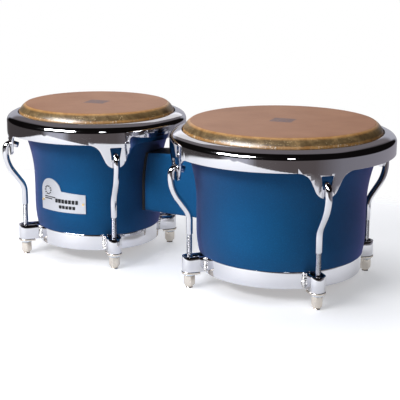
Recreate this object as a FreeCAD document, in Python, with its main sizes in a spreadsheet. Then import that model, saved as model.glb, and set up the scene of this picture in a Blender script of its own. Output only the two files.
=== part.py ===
"""A pair of bongo drums: two staved wooden shells joined by a centre block, each with a hide head
held down by a chromed rim, four tuning hooks and four nuts.

Frame: +Z up, origin on the floor under the middle of the pair, the small drum at -X and the large
one at +X. The drums stand on the ends of their eight tuning nuts. Lengths are in millimetres.
"""
import FreeCAD, Part
import math
import os
import Sketcher
from FreeCAD import Vector

doc = FreeCAD.newDocument("bongos")

# ---------------------------------------------------------------------------------------------
# Driving dimensions. Each one is a cell of the sheet "sizes", and every feature is bound to it.
# ---------------------------------------------------------------------------------------------
DRIVING = {
    # the pair
    "rim_gap": 14.8,                 # between the two rims
    "head_height": 178.0,
    "foot_clearance": 16.6,          # from the floor to the underside of the bottom rings
    # one column per drum
    "small_rim_outer": 105.2,        # radii
    "large_rim_outer": 121.8,
    "small_waist": 74.9,
    "large_waist": 92.3,
    "small_ring_outer": 72.0,
    "large_ring_outer": 89.0,
    "small_turn": 0.8,               # degrees, how far the lugs are turned from the diagonal
    "large_turn": 2.2,
    # shell
    "wall": 9.0,
    "taper_start": 60.0,             # height where the straight middle starts to draw in
    "taper_radius": 121.0,
    "flare_start": 89.0,             # below the head, as every level from here to the hoop
    "flare_radius": 150.0,
    "flare_end": 42.0,
    "collar_bottom": 26.0,           # the cylinder under the bearing edge
    "collar_top": 12.0,
    "collar_inset": 3.6,             # from the rim's inner edge to that cylinder
    "bearing_crest": 3.4,            # width of the flat crest of the bearing edge
    "bearing_radius": 14.0,
    "bearing_lip": 1.5,              # rounding inside the crest
    # head
    "hide": 1.8,
    "shoulder_width": 8.6,           # from the rim's inner edge to the edge of the playing area
    "shoulder_radius": 16.0,
    "shoulder_bottom": 10.4,
    "hide_gap": 0.5,                 # between the hide and the rim's inner edge
    "hoop_height": 18.7,
    "hoop_section": 4.0,             # radius of the flesh hoop's round wire
    "hoop_gap": 0.05,
    "hoop_lap": 0.2,                 # how far the hide's turned edge reaches past the rim's lip
    "tuck_end": 35.0,                # degrees, where the tucked hide ends above the hoop
    # rim, its levels below the head
    "rim_sheet": 2.4,
    "rim_band_top": 19.2,
    "rim_band_bottom": 31.4,
    "rim_corner_radius": 7.5,
    "rim_top_radius": 25.0,
    "rim_corner_angle": 60.0,
    "rim_lip_angle": 81.4,
    "rim_lip_radius": 1.25,
    "ear_bottom": 58.4,
    "ear_lean": 2.4,
    "ear_end_radius": 13.0,
    "ear_flare": 25.0,               # degrees, the slope of the ear's sides
    "ear_fillet": 16.0,
    "window_top": 34.8,
    "window_seat": 0.24,             # from the hook's inside to the window's lower edge
    "window_bottom_play": 2.3,       # the window's width beyond the rod's
    "window_top_play": 6.0,
    # tuning hooks
    "rod_inset": 17.2,               # from the rim's outer face in to the straight rod
    "shank_lap": 0.3,                # how far the shank's inside lies within the rim's outer face
    "rod_radius": 3.6,
    "thread_radius": 3.0,
    "rod_end": 5.6,
    "thread_top": 60.4,
    "jog_start": 75.0,
    "jog_angle": 36.0,
    "jog_lower_radius": 22.0,
    "jog_upper_radius": 40.0,
    "hook_centre": 50.9,             # below the head
    "hook_radius": 6.5,
    "hook_drop": 20.0,               # degrees below level that the tip points
    "tip_length": 6.4,
    # tuning nuts and what they bear on
    "nut_flats": 11.4,
    "nut_height": 14.5,
    "nut_nose_height": 3.2,
    "nut_nose_radius": 3.9,
    "thread_clearance": 0.1,
    "washer_radius": 7.0,
    "washer_thickness": 1.5,
    "washer_clearance": 0.4,
    "plate_overhang": 0.5,           # beyond the bracket's outside
    "plate_thickness": 2.5,
    "plate_reach": 10.0,             # from the rod in towards the drum
    "bracket_radius": 8.2,
    "bracket_sheet": 2.0,
    "weld_radius": 2.2,
    # bottom ring
    "ring_height": 19.2,
    "ring_sheet": 2.0,
    "ring_flange": 8.0,
    "fit_gap": 0.05,
    # centre block
    "block_width": 34.0,
    "block_bottom": 60.0,
    "block_shoulder": 50.2,          # below the head
    "block_crown": 2.6,
    "gasket": 3.0,
    "bolt_low": 76.0,
    "bolt_high": 66.0,               # below the head
    "bolt_radius": 3.0,
    "bolt_depth": 26.0,
    "bolt_head_flats": 10.0,
    "bolt_head_height": 4.0,
    "bolt_washer_radius": 10.0,
    "bolt_washer_thickness": 2.0,
    # badge
    "badge_half_width": 30.4,
    "badge_bottom": 61.0,
    "badge_top": 82.8,
    "badge_hump_radius": 15.7,
    "badge_sheet": 0.9,
    "badge_gap": 0.45,
    "pin_angle": 21.5,               # degrees, from the badge's middle to each pin
    "pin_height": 72.0,
    "pin_radius": 0.7,
    "pin_head_radius": 1.3,
    "pin_head_height": 0.7,
    "pin_depth": 6.0,
}

sheet = doc.addObject("Spreadsheet::Sheet", "sizes")
for row, (alias, number) in enumerate(DRIVING.items(), start=1):
    sheet.set(f"A{row}", alias)
    sheet.set(f"B{row}", str(number))
    sheet.setAlias(f"B{row}", alias)
doc.recompute()


# ---------------------------------------------------------------------------------------------
# A size knows its number and the sheet expression that gives it, so sketches start where the
# expressions will put them.
# ---------------------------------------------------------------------------------------------
class Size:
    def __init__(self, number, text):
        self.number = float(number)
        self.text = text

    def __add__(self, other):
        other = as_size(other)
        return Size(self.number + other.number, f"({self.text} + {other.text})")

    def __sub__(self, other):
        other = as_size(other)
        return Size(self.number - other.number, f"({self.text} - {other.text})")

    def __mul__(self, other):
        other = as_size(other)
        return Size(self.number * other.number, f"({self.text} * {other.text})")

    def __truediv__(self, other):
        other = as_size(other)
        return Size(self.number / other.number, f"({self.text} / {other.text})")

    def __neg__(self):
        return Size(-self.number, f"(0 - {self.text})")


def as_size(value):
    return value if isinstance(value, Size) else Size(value, str(value))


def sine(angle):
    return Size(math.sin(math.radians(angle.number)), f"sin({angle.text})")


def cosine(angle):
    return Size(math.cos(math.radians(angle.number)), f"cos({angle.text})")


def root(value):
    return Size(math.sqrt(value.number), f"sqrt({value.text})")


def given(alias):
    return Size(sheet.get(alias), f"sizes.{alias}")


def below_head(alias):
    """The height of a level that is given as a depth below the top of the head."""
    return given("head_height") - given(alias)


ZERO = Size(0, "0")
HALF_TURN = Size(180, "180")
BADGE_FACING = Size(270, "270")
PAIR_LENGTH = given("rim_gap") + given("small_rim_outer") * 2 + given("large_rim_outer") * 2
AXIS_X = {"small": given("small_rim_outer") - PAIR_LENGTH / 2,
          "large": PAIR_LENGTH / 2 - given("large_rim_outer")}
DRUMS = ("small", "large")
CORNERS = {"back_right": 45, "back_left": 135, "front_left": 225, "front_right": 315}


# ---------------------------------------------------------------------------------------------
# Sketch and feature helpers
# ---------------------------------------------------------------------------------------------
def bind(item, prop, size):
    item.setExpression(prop, as_size(size).text)


def place(item, x=ZERO, y=ZERO, z=ZERO, turn=None):
    """Put an object at (x, y, z), turned about the vertical by an angle in degrees."""
    angle = turn.number if turn else 0
    spot = Vector(as_size(x).number, as_size(y).number, as_size(z).number)
    item.Placement = FreeCAD.Placement(spot, FreeCAD.Rotation(Vector(0, 0, 1), angle))
    for axis, size in (("x", x), ("y", y), ("z", z)):
        bind(item, f"Placement.Base.{axis}", size)
    if turn:
        bind(item, "Placement.Rotation.Angle", turn)
    return item


def new_body(label):
    body = doc.addObject("PartDesign::Body", label)
    body.Label = label
    return body


def new_sketch(body, plane, height=None):
    sketch = body.newObject("Sketcher::SketchObject", body.Label + "_sketch")
    origin_plane = [f for f in body.Origin.OriginFeatures if f.Role == plane][0]
    sketch.AttachmentSupport = [(origin_plane, "")]
    sketch.MapMode = "FlatFace"
    if height:
        sketch.AttachmentOffset = FreeCAD.Placement(Vector(0, 0, height.number), FreeCAD.Rotation())
        bind(sketch, "AttachmentOffset.Base.z", height)
    return sketch


def fix_coordinate(sketch, kind, geometry, end, size):
    """Hold one coordinate of a point at a size measured from the sketch's origin."""
    if abs(size.number) < 1e-9:
        axis = -2 if kind == "DistanceX" else -1
        sketch.addConstraint(Sketcher.Constraint("PointOnObject", geometry, end, axis))
        return
    ends = (-1, 1, geometry, end) if size.number > 0 else (geometry, end, -1, 1)
    size = size if size.number > 0 else -size
    index = sketch.addConstraint(Sketcher.Constraint(kind, *ends, size.number))
    bind(sketch, f"Constraints[{index}]", size)


def arc_between(start, end, radius, side):
    """A minor arc from start to end, with its centre to the left (side 1) or right (side -1)."""
    chord = end - start
    across = Vector(-chord.y, chord.x, 0).normalize()
    depth = math.sqrt(max(radius ** 2 - (chord.Length / 2) ** 2, 0))
    centre = start + chord / 2 + across * (side * depth)
    first, last = (start, end) if side > 0 else (end, start)
    angles = [math.atan2(p.y - centre.y, p.x - centre.x) for p in (first, last)]
    return Part.ArcOfCircle(Part.Circle(centre, Vector(0, 0, 1), radius), *angles)


def draw(sketch, points, arcs=None, closed=True):
    """Draw a chain of lines and arcs. arcs maps a segment's number to (radius, side)."""
    arcs = arcs or {}
    spots = [Vector(x.number, y.number, 0) for x, y in points]
    count = len(points) if closed else len(points) - 1
    ends = []
    for k in range(count):
        start, end = spots[k], spots[(k + 1) % len(spots)]
        if k in arcs:
            radius, side = arcs[k]
            index = sketch.addGeometry(arc_between(start, end, radius.number, side))
            ends.append((index, 1, 2) if side > 0 else (index, 2, 1))
        else:
            index = sketch.addGeometry(Part.LineSegment(start, end))
            ends.append((index, 1, 2))
    for k in range(count if closed else count - 1):
        following = ends[(k + 1) % count]
        sketch.addConstraint(Sketcher.Constraint("Coincident", ends[k][0], ends[k][2],
                                                 following[0], following[1]))
    for k, (x, y) in enumerate(points):
        index, end = (ends[k][0], ends[k][1]) if k < count else (ends[-1][0], ends[-1][2])
        fix_coordinate(sketch, "DistanceX", index, end, x)
        fix_coordinate(sketch, "DistanceY", index, end, y)
    for k, (radius, side) in arcs.items():
        index = sketch.addConstraint(Sketcher.Constraint("Radius", ends[k][0], radius.number))
        bind(sketch, f"Constraints[{index}]", radius)


def draw_circle(sketch, radius):
    index = sketch.addGeometry(Part.Circle(Vector(0, 0, 0), Vector(0, 0, 1), radius.number))
    sketch.addConstraint(Sketcher.Constraint("Coincident", index, 3, -1, 1))
    held = sketch.addConstraint(Sketcher.Constraint("Radius", index, radius.number))
    bind(sketch, f"Constraints[{held}]", radius)


def turned(label, points, arcs=None):
    """A body of revolution about its own vertical axis; points are (radius, height)."""
    body = new_body(label)
    sketch = new_sketch(body, "XZ_Plane")
    draw(sketch, points, arcs)
    solid = body.newObject("PartDesign::Revolution", label + "_turn")
    solid.Profile = sketch
    solid.ReferenceAxis = (sketch, ["V_Axis"])
    solid.Angle = 360
    return body


def padded(label, points, length, height=None, arcs=None, plane="XY_Plane", both_ways=False):
    """A body padded from an outline; both_ways centres it on the sketch's plane."""
    body = new_body(label)
    sketch = new_sketch(body, plane, height)
    draw(sketch, points, arcs)
    solid = body.newObject("PartDesign::Pad", label + "_pad")
    solid.Profile = sketch
    bind(solid, "Length", length)
    if both_ways:
        solid.Midplane = True
    return body


def cylinder(name, radius, height):
    solid = doc.addObject("Part::Cylinder", name)
    bind(solid, "Radius", radius)
    bind(solid, "Height", height)
    return solid


def box(name, length, width, height):
    solid = doc.addObject("Part::Box", name)
    for prop, size in (("Length", length), ("Width", width), ("Height", height)):
        bind(solid, prop, size)
    return solid


def hexagon(name, flats, height):
    solid = doc.addObject("Part::Prism", name)
    solid.Polygon = 6
    bind(solid, "Circumradius", flats / 2 / cosine(as_size(30)))
    bind(solid, "Height", height)
    return solid


def cut(name, base, tool):
    result = doc.addObject("Part::Cut", name)
    result.Base = base
    result.Tool = tool
    return result


def fuse(name, items):
    result = doc.addObject("Part::MultiFuse", name)
    result.Shapes = items
    return result


def common(name, base, tool):
    result = doc.addObject("Part::Common", name)
    result.Base = base
    result.Tool = tool
    return result


def group(name, items):
    """Separate solids kept together in one node."""
    result = doc.addObject("Part::Compound", name)
    result.Links = items
    return result


def along_x(item, x, y, z):
    """Lay a cylinder or prism along +X from (x, y, z)."""
    item.Placement = FreeCAD.Placement(Vector(0, 0, 0), FreeCAD.Rotation(Vector(0, 1, 0), 90))
    for axis, size in (("x", x), ("y", y), ("z", z)):
        bind(item, f"Placement.Base.{axis}", size)
    return item


PARTS = {}


def keep(label, item):
    """Register a finished sub-part under the name of its file."""
    item.Label = label
    PARTS[label] = item
    return item


# ---------------------------------------------------------------------------------------------
# Radii and heights that several pieces share
# ---------------------------------------------------------------------------------------------
def rim_top_centre(drum):
    """Centre of the large arc that crowns the rim."""
    corner = given("rim_corner_radius")
    reach = given("rim_top_radius") - corner
    angle = given("rim_corner_angle")
    radius = given(f"{drum}_rim_outer") - corner - reach * cosine(angle)
    return radius, below_head("rim_band_top") - reach * sine(angle)


def rim_inner(drum):
    """Radius of the rim's inner edge, at the middle of its rolled lip."""
    middle = given("rim_top_radius") - given("rim_sheet") / 2
    return rim_top_centre(drum)[0] + middle * cosine(given("rim_lip_angle")) - given("rim_lip_radius")


def hoop_circle(drum):
    return rim_inner(drum) + given("hoop_section") + given("hoop_gap") - given("hoop_lap")


def rod_circle(drum):
    return given(f"{drum}_rim_outer") - given("rod_inset")


def shank_reach():
    """From a rod's lower, straight part out to its shank."""
    return given("rod_inset") + given("rod_radius") - given("shank_lap")


def corner_turn(drum, corner):
    return given(f"{drum}_turn") + CORNERS[corner]


def at_corner(item, drum, corner, reach, z=ZERO):
    """Put an object on the drum's lug circle, its +X pointing away from the drum's axis."""
    turn = corner_turn(drum, corner)
    return place(item, AXIS_X[drum] + reach * cosine(turn), reach * sine(turn), z, turn)


HIDE_UNDERSIDE = given("head_height") - given("hide")
SHELL_TOP = HIDE_UNDERSIDE - given("fit_gap")
RING_BOTTOM = given("foot_clearance")
RING_TOP = RING_BOTTOM + given("ring_height")
SHELL_BOTTOM = RING_BOTTOM + given("ring_sheet") + given("fit_gap")
WASHER_BOTTOM = given("nut_height")
PLATE_BOTTOM = WASHER_BOTTOM + given("washer_thickness")
BRACKET_BOTTOM = PLATE_BOTTOM + given("plate_thickness")
BOLT_LEVELS = {"low": given("bolt_low"), "high": below_head("bolt_high")}


def drop(radius, distance):
    """How far an arc falls away from its tangent, at a distance along the tangent."""
    return radius - root(radius * radius - distance * distance)


def outer_profile(drum, offset):
    """The shell's outside from above the bottom ring to the bearing edge's shoulder."""
    waist = given(f"{drum}_waist") + offset
    collar = rim_inner(drum) - given("collar_inset") + offset
    seat = RING_TOP + given("fit_gap")
    taper = given("taper_radius") + offset
    flare = given("flare_radius") - offset
    flare_rise = below_head("flare_end") - below_head("flare_start")
    points = [(waist - drop(taper, given("taper_start") - seat), seat),
              (waist, given("taper_start")),
              (waist, below_head("flare_start")),
              (waist + drop(flare, flare_rise), below_head("flare_end")),
              (collar, below_head("collar_bottom")),
              (collar, below_head("collar_top"))]
    return points, {0: (taper, 1), 2: (flare, -1)}


# ---------------------------------------------------------------------------------------------
# Shells
# ---------------------------------------------------------------------------------------------
def shell_wall(drum):
    outside, arcs = outer_profile(drum, ZERO)
    rebate = given(f"{drum}_ring_outer") - given("ring_sheet") - given("fit_gap")
    inside = given(f"{drum}_waist") - given("wall")
    flat_edge = rim_inner(drum) - given("shoulder_width")
    crest_outer = flat_edge - given("fit_gap")
    crest_inner = crest_outer - given("bearing_crest")
    lip = given("bearing_lip")
    points = [(inside, SHELL_BOTTOM),
              (rebate, SHELL_BOTTOM),
              (rebate, outside[0][1])] + outside
    flare_inside = outside[3][0] - given("wall")
    washers_end = BOLT_LEVELS["high"] + given("bolt_washer_radius") + given("washer_clearance")
    points += [(crest_outer, SHELL_TOP),
               (crest_inner, SHELL_TOP),
               (crest_inner - lip, SHELL_TOP - lip),
               (flare_inside, below_head("flare_end")),
               (inside, washers_end)]
    arcs = {k + 3: arc for k, arc in arcs.items()}
    arcs[8] = (given("bearing_radius"), 1)
    arcs[10] = (lip, 1)
    return turned(f"{drum}_shell_wall", points, arcs)


def core(drum, offset, name):
    """The space inside the shell's outside face grown by an offset: a cutter for saddles."""
    outside, arcs = outer_profile(drum, offset)
    points = [(ZERO, outside[0][1])] + outside + [(ZERO, below_head("collar_top"))]
    body = turned(f"{drum}_{name}", points, {k + 1: arc for k, arc in arcs.items()})
    return place(body, AXIS_X[drum])


def inward(drum):
    """+1 where the other drum is towards +X, -1 where it is towards -X."""
    return 1 if drum == "small" else -1


def bolt_rods(drum, name, radius, start, length):
    """Level cylinders on the two bolt axes, from a radius of the drum towards the block."""
    rods = []
    for level in BOLT_LEVELS:
        rod = cylinder(f"{drum}_{name}_{level}", radius, length)
        first = AXIS_X[drum] + start if inward(drum) > 0 else AXIS_X[drum] - start - length
        rods.append(along_x(rod, first, ZERO, BOLT_LEVELS[level]))
    return rods


def pin_rods(name, radius, start, length):
    """Level rods at the badge's two pins, pointing straight away from the small drum's axis."""
    rods = []
    for side in (-1, 1):
        label = f"{name}_{'left' if side < 0 else 'right'}"
        rod = along_x(cylinder(label + "_rod", radius, length), given("small_waist") + start,
                      ZERO, given("pin_height"))
        turn = BADGE_FACING + given("pin_angle") * side
        rods.append(place(group(label, [rod]), AXIS_X["small"], turn=turn))
    return rods


def make_shell(drum):
    wall = place(shell_wall(drum), AXIS_X[drum])
    inside = given(f"{drum}_waist") - given("wall")
    hole = given("bolt_radius") + given("washer_clearance")
    tools = bolt_rods(drum, "wall_hole", hole, inside - given("wall") / 2, given("wall") * 2)
    if drum == "small":
        pilot = given("pin_radius") + given("fit_gap")
        tools += pin_rods("pin_pilot", pilot, -given("pin_depth"), given("pin_depth") * 2)
    keep(f"{drum}_shell", cut(f"{drum}_shell_cut", wall, fuse(f"{drum}_shell_holes", tools)))


def make_bottom_ring(drum):
    """An angle ring: a band round the shell's foot and a flange under its edge."""
    outer = given(f"{drum}_ring_outer")
    wall = given("ring_sheet")
    points = [(outer - given("ring_flange"), RING_BOTTOM),
              (outer, RING_BOTTOM),
              (outer, RING_TOP),
              (outer - wall, RING_TOP),
              (outer - wall, RING_BOTTOM + wall),
              (outer - given("ring_flange"), RING_BOTTOM + wall)]
    ring = turned(f"{drum}_bottom_ring", points)
    keep(f"{drum}_bottom_ring", place(ring, AXIS_X[drum]))


# ---------------------------------------------------------------------------------------------
# Heads
# ---------------------------------------------------------------------------------------------
def make_membrane(drum):
    """The playing area and the shoulder that is drawn down over the bearing edge."""
    flat_edge = rim_inner(drum) - given("shoulder_width")
    outer = rim_inner(drum) - given("hide_gap")
    radius = given("shoulder_radius")
    points = [(ZERO, HIDE_UNDERSIDE),
              (flat_edge, HIDE_UNDERSIDE),
              (outer - given("hide"), below_head("shoulder_bottom")),
              (outer, below_head("shoulder_bottom")),
              (flat_edge, given("head_height")),
              (ZERO, given("head_height"))]
    arcs = {1: (radius, -1), 3: (radius, 1)}
    membrane = turned(f"{drum}_head_membrane", points, arcs)
    keep(f"{drum}_head_membrane", place(membrane, AXIS_X[drum]))


def make_collar(drum):
    """The hide between the shoulder and the flesh hoop, which stretches as the head is tuned."""
    outer = rim_inner(drum) - given("hide_gap")
    points = [(outer - given("hide"), below_head("hoop_height")),
              (outer, below_head("hoop_height")),
              (outer, below_head("shoulder_bottom")),
              (outer - given("hide"), below_head("shoulder_bottom"))]
    keep(f"{drum}_head_collar", place(turned(f"{drum}_head_collar", points), AXIS_X[drum]))


def make_hoop(drum):
    hoop = doc.addObject("Part::Torus", f"{drum}_flesh_hoop")
    bind(hoop, "Radius1", hoop_circle(drum))
    bind(hoop, "Radius2", given("hoop_section"))
    keep(f"{drum}_flesh_hoop", place(hoop, AXIS_X[drum], z=below_head("hoop_height")))


def make_tuck(drum):
    """The hide's edge, turned under the flesh hoop and up outside it."""
    centre = hoop_circle(drum)
    level = below_head("hoop_height")
    inner = given("hoop_section") + given("hoop_gap")
    outer = inner + given("hide")
    end = given("tuck_end")

    def spot(radius, angle):
        return centre + radius * cosine(angle), level + radius * sine(angle)

    below = Size(270, "270")
    points = [spot(outer, HALF_TURN), spot(outer, below), spot(outer, ZERO), spot(outer, end),
              spot(inner, end), spot(inner, ZERO), spot(inner, below), spot(inner, HALF_TURN)]
    arcs = {0: (outer, 1), 1: (outer, 1), 2: (outer, 1), 4: (inner, -1), 5: (inner, -1), 6: (inner, -1)}
    keep(f"{drum}_hide_tuck", place(turned(f"{drum}_hide_tuck", points, arcs), AXIS_X[drum]))


# ---------------------------------------------------------------------------------------------
# Rims
# ---------------------------------------------------------------------------------------------
def rim_blank(drum):
    """The rolled rim before its ears are cut: crown, corner, band and a skirt that leans in."""
    outer = given(f"{drum}_rim_outer")
    wall = given("rim_sheet")
    corner = given("rim_corner_radius")
    top = given("rim_top_radius")
    turn = given("rim_corner_angle")
    lip = given("rim_lip_angle")
    centre_r, centre_z = rim_top_centre(drum)

    def crown(radius, angle):
        return centre_r + radius * cosine(angle), centre_z + radius * sine(angle)

    skirt = outer - given("ear_lean")
    low = below_head("ear_bottom") - wall
    points = [(skirt - wall, low),
              (skirt, low),
              (outer, below_head("rim_band_bottom")),
              (outer, below_head("rim_band_top")),
              crown(top, turn),
              crown(top, lip),
              crown(top - wall, lip),
              crown(top - wall, turn),
              (outer - wall, below_head("rim_band_top")),
              (outer - wall, below_head("rim_band_bottom"))]
    arcs = {3: (corner, 1), 4: (top, 1), 5: (given("rim_lip_radius"), 1),
            6: (top - wall, -1), 7: (corner - wall, -1)}
    return turned(f"{drum}_rim", points, arcs)


def ear_outline(drum):
    """What is cut away below the band on either side of one ear, seen from outside."""
    end = given("ear_end_radius")
    fillet = given("ear_fillet")
    slope = given("ear_flare")
    edge = below_head("rim_band_bottom")
    low = below_head("ear_bottom")
    side_x = end * cosine(slope)
    side_z = low + end - end * sine(slope)
    start_z = edge - fillet + fillet * sine(slope)
    start_x = side_x + (start_z - side_z) * sine(slope) / cosine(slope)
    shoulder = start_x + fillet * cosine(slope)
    reach = given(f"{drum}_rim_outer") * sine(Size(48, "48"))
    floor = low - given("rim_sheet") * 2
    right = [(side_x, side_z), (start_x, start_z), (shoulder, edge), (reach, edge), (reach, floor)]
    left = [(-x, z) for x, z in reversed(right)]
    points = [(ZERO, low)] + right + left
    last = len(points) - 1
    arcs = {0: (end, 1), 2: (fillet, -1), last: (end, 1), last - 2: (fillet, -1)}
    return points, arcs


def window_floor():
    """The window's lower edge, just under the inside of the hook where that crosses the ear."""
    inside = given("hook_radius") - given("rod_radius")
    band = below_head("rim_band_bottom")
    level = below_head("hook_centre") + inside
    lean = given("ear_lean") * (band - level) / (band - below_head("ear_bottom") + given("rim_sheet"))
    offset = given("hook_radius") - given("rod_radius") + given("shank_lap") - lean
    rise = root(inside * inside - offset * offset)
    return below_head("hook_centre") + rise - given("window_seat")


def window_outline():
    bottom = given("rod_radius") + given("window_bottom_play") / 2
    top = given("rod_radius") + given("window_top_play") / 2
    return [(-bottom, window_floor()), (bottom, window_floor()),
            (top, below_head("window_top")), (-top, below_head("window_top"))]


def pocket_round(body, name, points, arcs, length):
    """Cut an outline through the rim's +X side and repeat the cut at the four ears."""
    sketch = new_sketch(body, "YZ_Plane")
    draw(sketch, points, arcs)
    pocket = body.newObject("PartDesign::Pocket", name)
    pocket.Profile = sketch
    pocket.Type = "Length"
    bind(pocket, "Length", length)
    pocket.Reversed = True
    return pocket


def repeat_round(body, name, features):
    pattern = body.newObject("PartDesign::PolarPattern", name)
    pattern.Originals = features
    pattern.Axis = ([f for f in body.Origin.OriginFeatures if f.Role == "Z_Axis"][0], [""])
    pattern.Angle = 360
    pattern.Occurrences = len(CORNERS)
    body.Tip = pattern
    return pattern


def make_rim(drum):
    body = rim_blank(drum)
    doc.recompute()
    before = body.Shape.Volume
    reach = given(f"{drum}_rim_outer") + given("rim_sheet")
    points, arcs = ear_outline(drum)
    ears = pocket_round(body, f"{drum}_ear_cut", points, arcs, reach)
    window = pocket_round(body, f"{drum}_window_cut", window_outline(), None, reach)
    repeat_round(body, f"{drum}_ear_pattern", [ears, window])
    doc.recompute()
    if body.Shape.Volume > before * 0.9:
        raise RuntimeError(f"the ears of the {drum} rim were not cut")
    keep(f"{drum}_rim", place(body, AXIS_X[drum], turn=given(f"{drum}_turn") + 45))


# ---------------------------------------------------------------------------------------------
# Tuning hooks
# ---------------------------------------------------------------------------------------------
def hook_path():
    """The rod's centre line: straight up, out past the rim, up, and over into the ear window."""
    angle = given("jog_angle")
    lower = given("jog_lower_radius")
    upper = given("jog_upper_radius")
    jog = shank_reach()
    slope_start_x = lower * (as_size(1) - cosine(angle))
    slope_start_z = given("jog_start") + lower * sine(angle)
    slope_end_x = jog - upper * (as_size(1) - cosine(angle))
    slope_end_z = slope_start_z + (slope_end_x - slope_start_x) * cosine(angle) / sine(angle)
    bend = given("hook_radius")
    crest_x = jog - bend
    over = given("hook_drop")
    tip_x = crest_x - bend * sine(over)
    tip_z = below_head("hook_centre") + bend * cosine(over)
    points = [(ZERO, given("thread_top")),
              (ZERO, given("jog_start")),
              (slope_start_x, slope_start_z),
              (slope_end_x, slope_end_z),
              (jog, slope_end_z + upper * sine(angle)),
              (jog, below_head("hook_centre")),
              (crest_x, below_head("hook_centre") + bend),
              (tip_x, tip_z),
              (tip_x - given("tip_length") * cosine(over), tip_z - given("tip_length") * sine(over))]
    arcs = {1: (lower, -1), 3: (upper, 1), 5: (bend, 1), 6: (bend, 1)}
    return points, arcs


def make_hook(drum, corner):
    label = f"{drum}_hook_{corner}"
    body = new_body(label)
    path = new_sketch(body, "XZ_Plane")
    points, arcs = hook_path()
    draw(path, points, arcs, closed=False)
    section = new_sketch(body, "XY_Plane", given("thread_top"))
    draw_circle(section, given("rod_radius"))
    rod = body.newObject("PartDesign::AdditivePipe", label + "_rod")
    rod.Profile = section
    rod.Spine = (path, [f"Edge{k + 1}" for k in range(len(points) - 1)])
    core_circle = new_sketch(body, "XY_Plane", given("rod_end"))
    draw_circle(core_circle, given("thread_radius"))
    thread = body.newObject("PartDesign::Pad", label + "_thread")
    thread.Profile = core_circle
    bind(thread, "Length", given("thread_top") - given("rod_end"))
    keep(label, at_corner(body, drum, corner, rod_circle(drum)))


# ---------------------------------------------------------------------------------------------
# Nuts, washers and lugs
# ---------------------------------------------------------------------------------------------
def make_nut(drum, corner):
    """A deep hexagon nut, bored through, its lower end turned down to a round nose."""
    label = f"{drum}_nut_{corner}"
    flats = given("nut_flats")
    wide = flats / 2 / cosine(as_size(30))
    blank = hexagon(label + "_blank", flats, given("nut_height"))
    chamfer = wide - flats / 2
    nose = [(ZERO, ZERO), (given("nut_nose_radius"), ZERO),
            (flats / 2, given("nut_nose_height")),
            (wide, given("nut_nose_height") + chamfer),
            (wide, given("nut_height") - chamfer / 2), (flats / 2, given("nut_height")),
            (ZERO, given("nut_height"))]
    form = turned(label + "_form", nose, {1: (given("nut_nose_height") * 2, 1)})
    outside = common(label + "_outside", blank, form)
    bore = cylinder(label + "_bore", given("thread_radius") + given("thread_clearance"),
                    given("nut_height"))
    nut = cut(label, outside, bore)
    keep(label, at_corner(nut, drum, corner, rod_circle(drum)))


def make_washers(drum):
    """Round washers on the nuts."""
    rings = []
    for corner in CORNERS:
        name = f"{drum}_washer_{corner}"
        disc = cylinder(name + "_disc", given("washer_radius"), given("washer_thickness"))
        hole = cylinder(name + "_hole", given("thread_radius") + given("washer_clearance"),
                        given("washer_thickness"))
        washer = cut(name, disc, hole)
        rings.append(at_corner(washer, drum, corner, rod_circle(drum), WASHER_BOTTOM))
    keep(f"{drum}_round_washers", group(f"{drum}_round_washers", rings))


def u_shape(name, radius, reach, height):
    """A block with a half-round outer end on the rod's axis and straight sides inwards."""
    end = cylinder(name + "_end", radius, height)
    body = box(name + "_body", reach, radius * 2, height)
    place(body, -reach, -radius)
    return fuse(name, [end, body])


def make_plates(drum):
    """Plate washers that close the lugs' undersides and carry the load of the nuts."""
    plates = []
    for corner in CORNERS:
        name = f"{drum}_plate_{corner}"
        radius = given("bracket_radius") + given("plate_overhang")
        outline = u_shape(name + "_outline", radius, given("plate_reach"), given("plate_thickness"))
        hole = cylinder(name + "_hole", given("thread_radius") + given("washer_clearance"),
                        given("plate_thickness"))
        plate = cut(name, outline, hole)
        plates.append(at_corner(plate, drum, corner, rod_circle(drum), PLATE_BOTTOM))
    keep(f"{drum}_plate_washers", group(f"{drum}_plate_washers", plates))


def ring_clearance(drum, name, height):
    """A cylinder just larger than the bottom ring, in the frame of one lug."""
    radius = given(f"{drum}_ring_outer") + given("fit_gap")
    return place(cylinder(name, radius, height), -rod_circle(drum))


def make_brackets(drum):
    """Lugs: straps bent into a U round the rods, their ends against the bottom ring."""
    straps = []
    height = RING_TOP - BRACKET_BOTTOM
    reach = rod_circle(drum) - given(f"{drum}_ring_outer") + given("bracket_sheet")
    for corner in CORNERS:
        name = f"{drum}_bracket_{corner}"
        outer = u_shape(name + "_outer", given("bracket_radius"), reach, height)
        inner = u_shape(name + "_inner", given("bracket_radius") - given("bracket_sheet"),
                        reach + given("bracket_sheet"), height)
        hollow = fuse(name + "_hollow", [inner, ring_clearance(drum, name + "_ring", height)])
        strap = cut(name, outer, hollow)
        straps.append(at_corner(strap, drum, corner, rod_circle(drum), BRACKET_BOTTOM))
    keep(f"{drum}_lug_brackets", group(f"{drum}_lug_brackets", straps))


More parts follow.
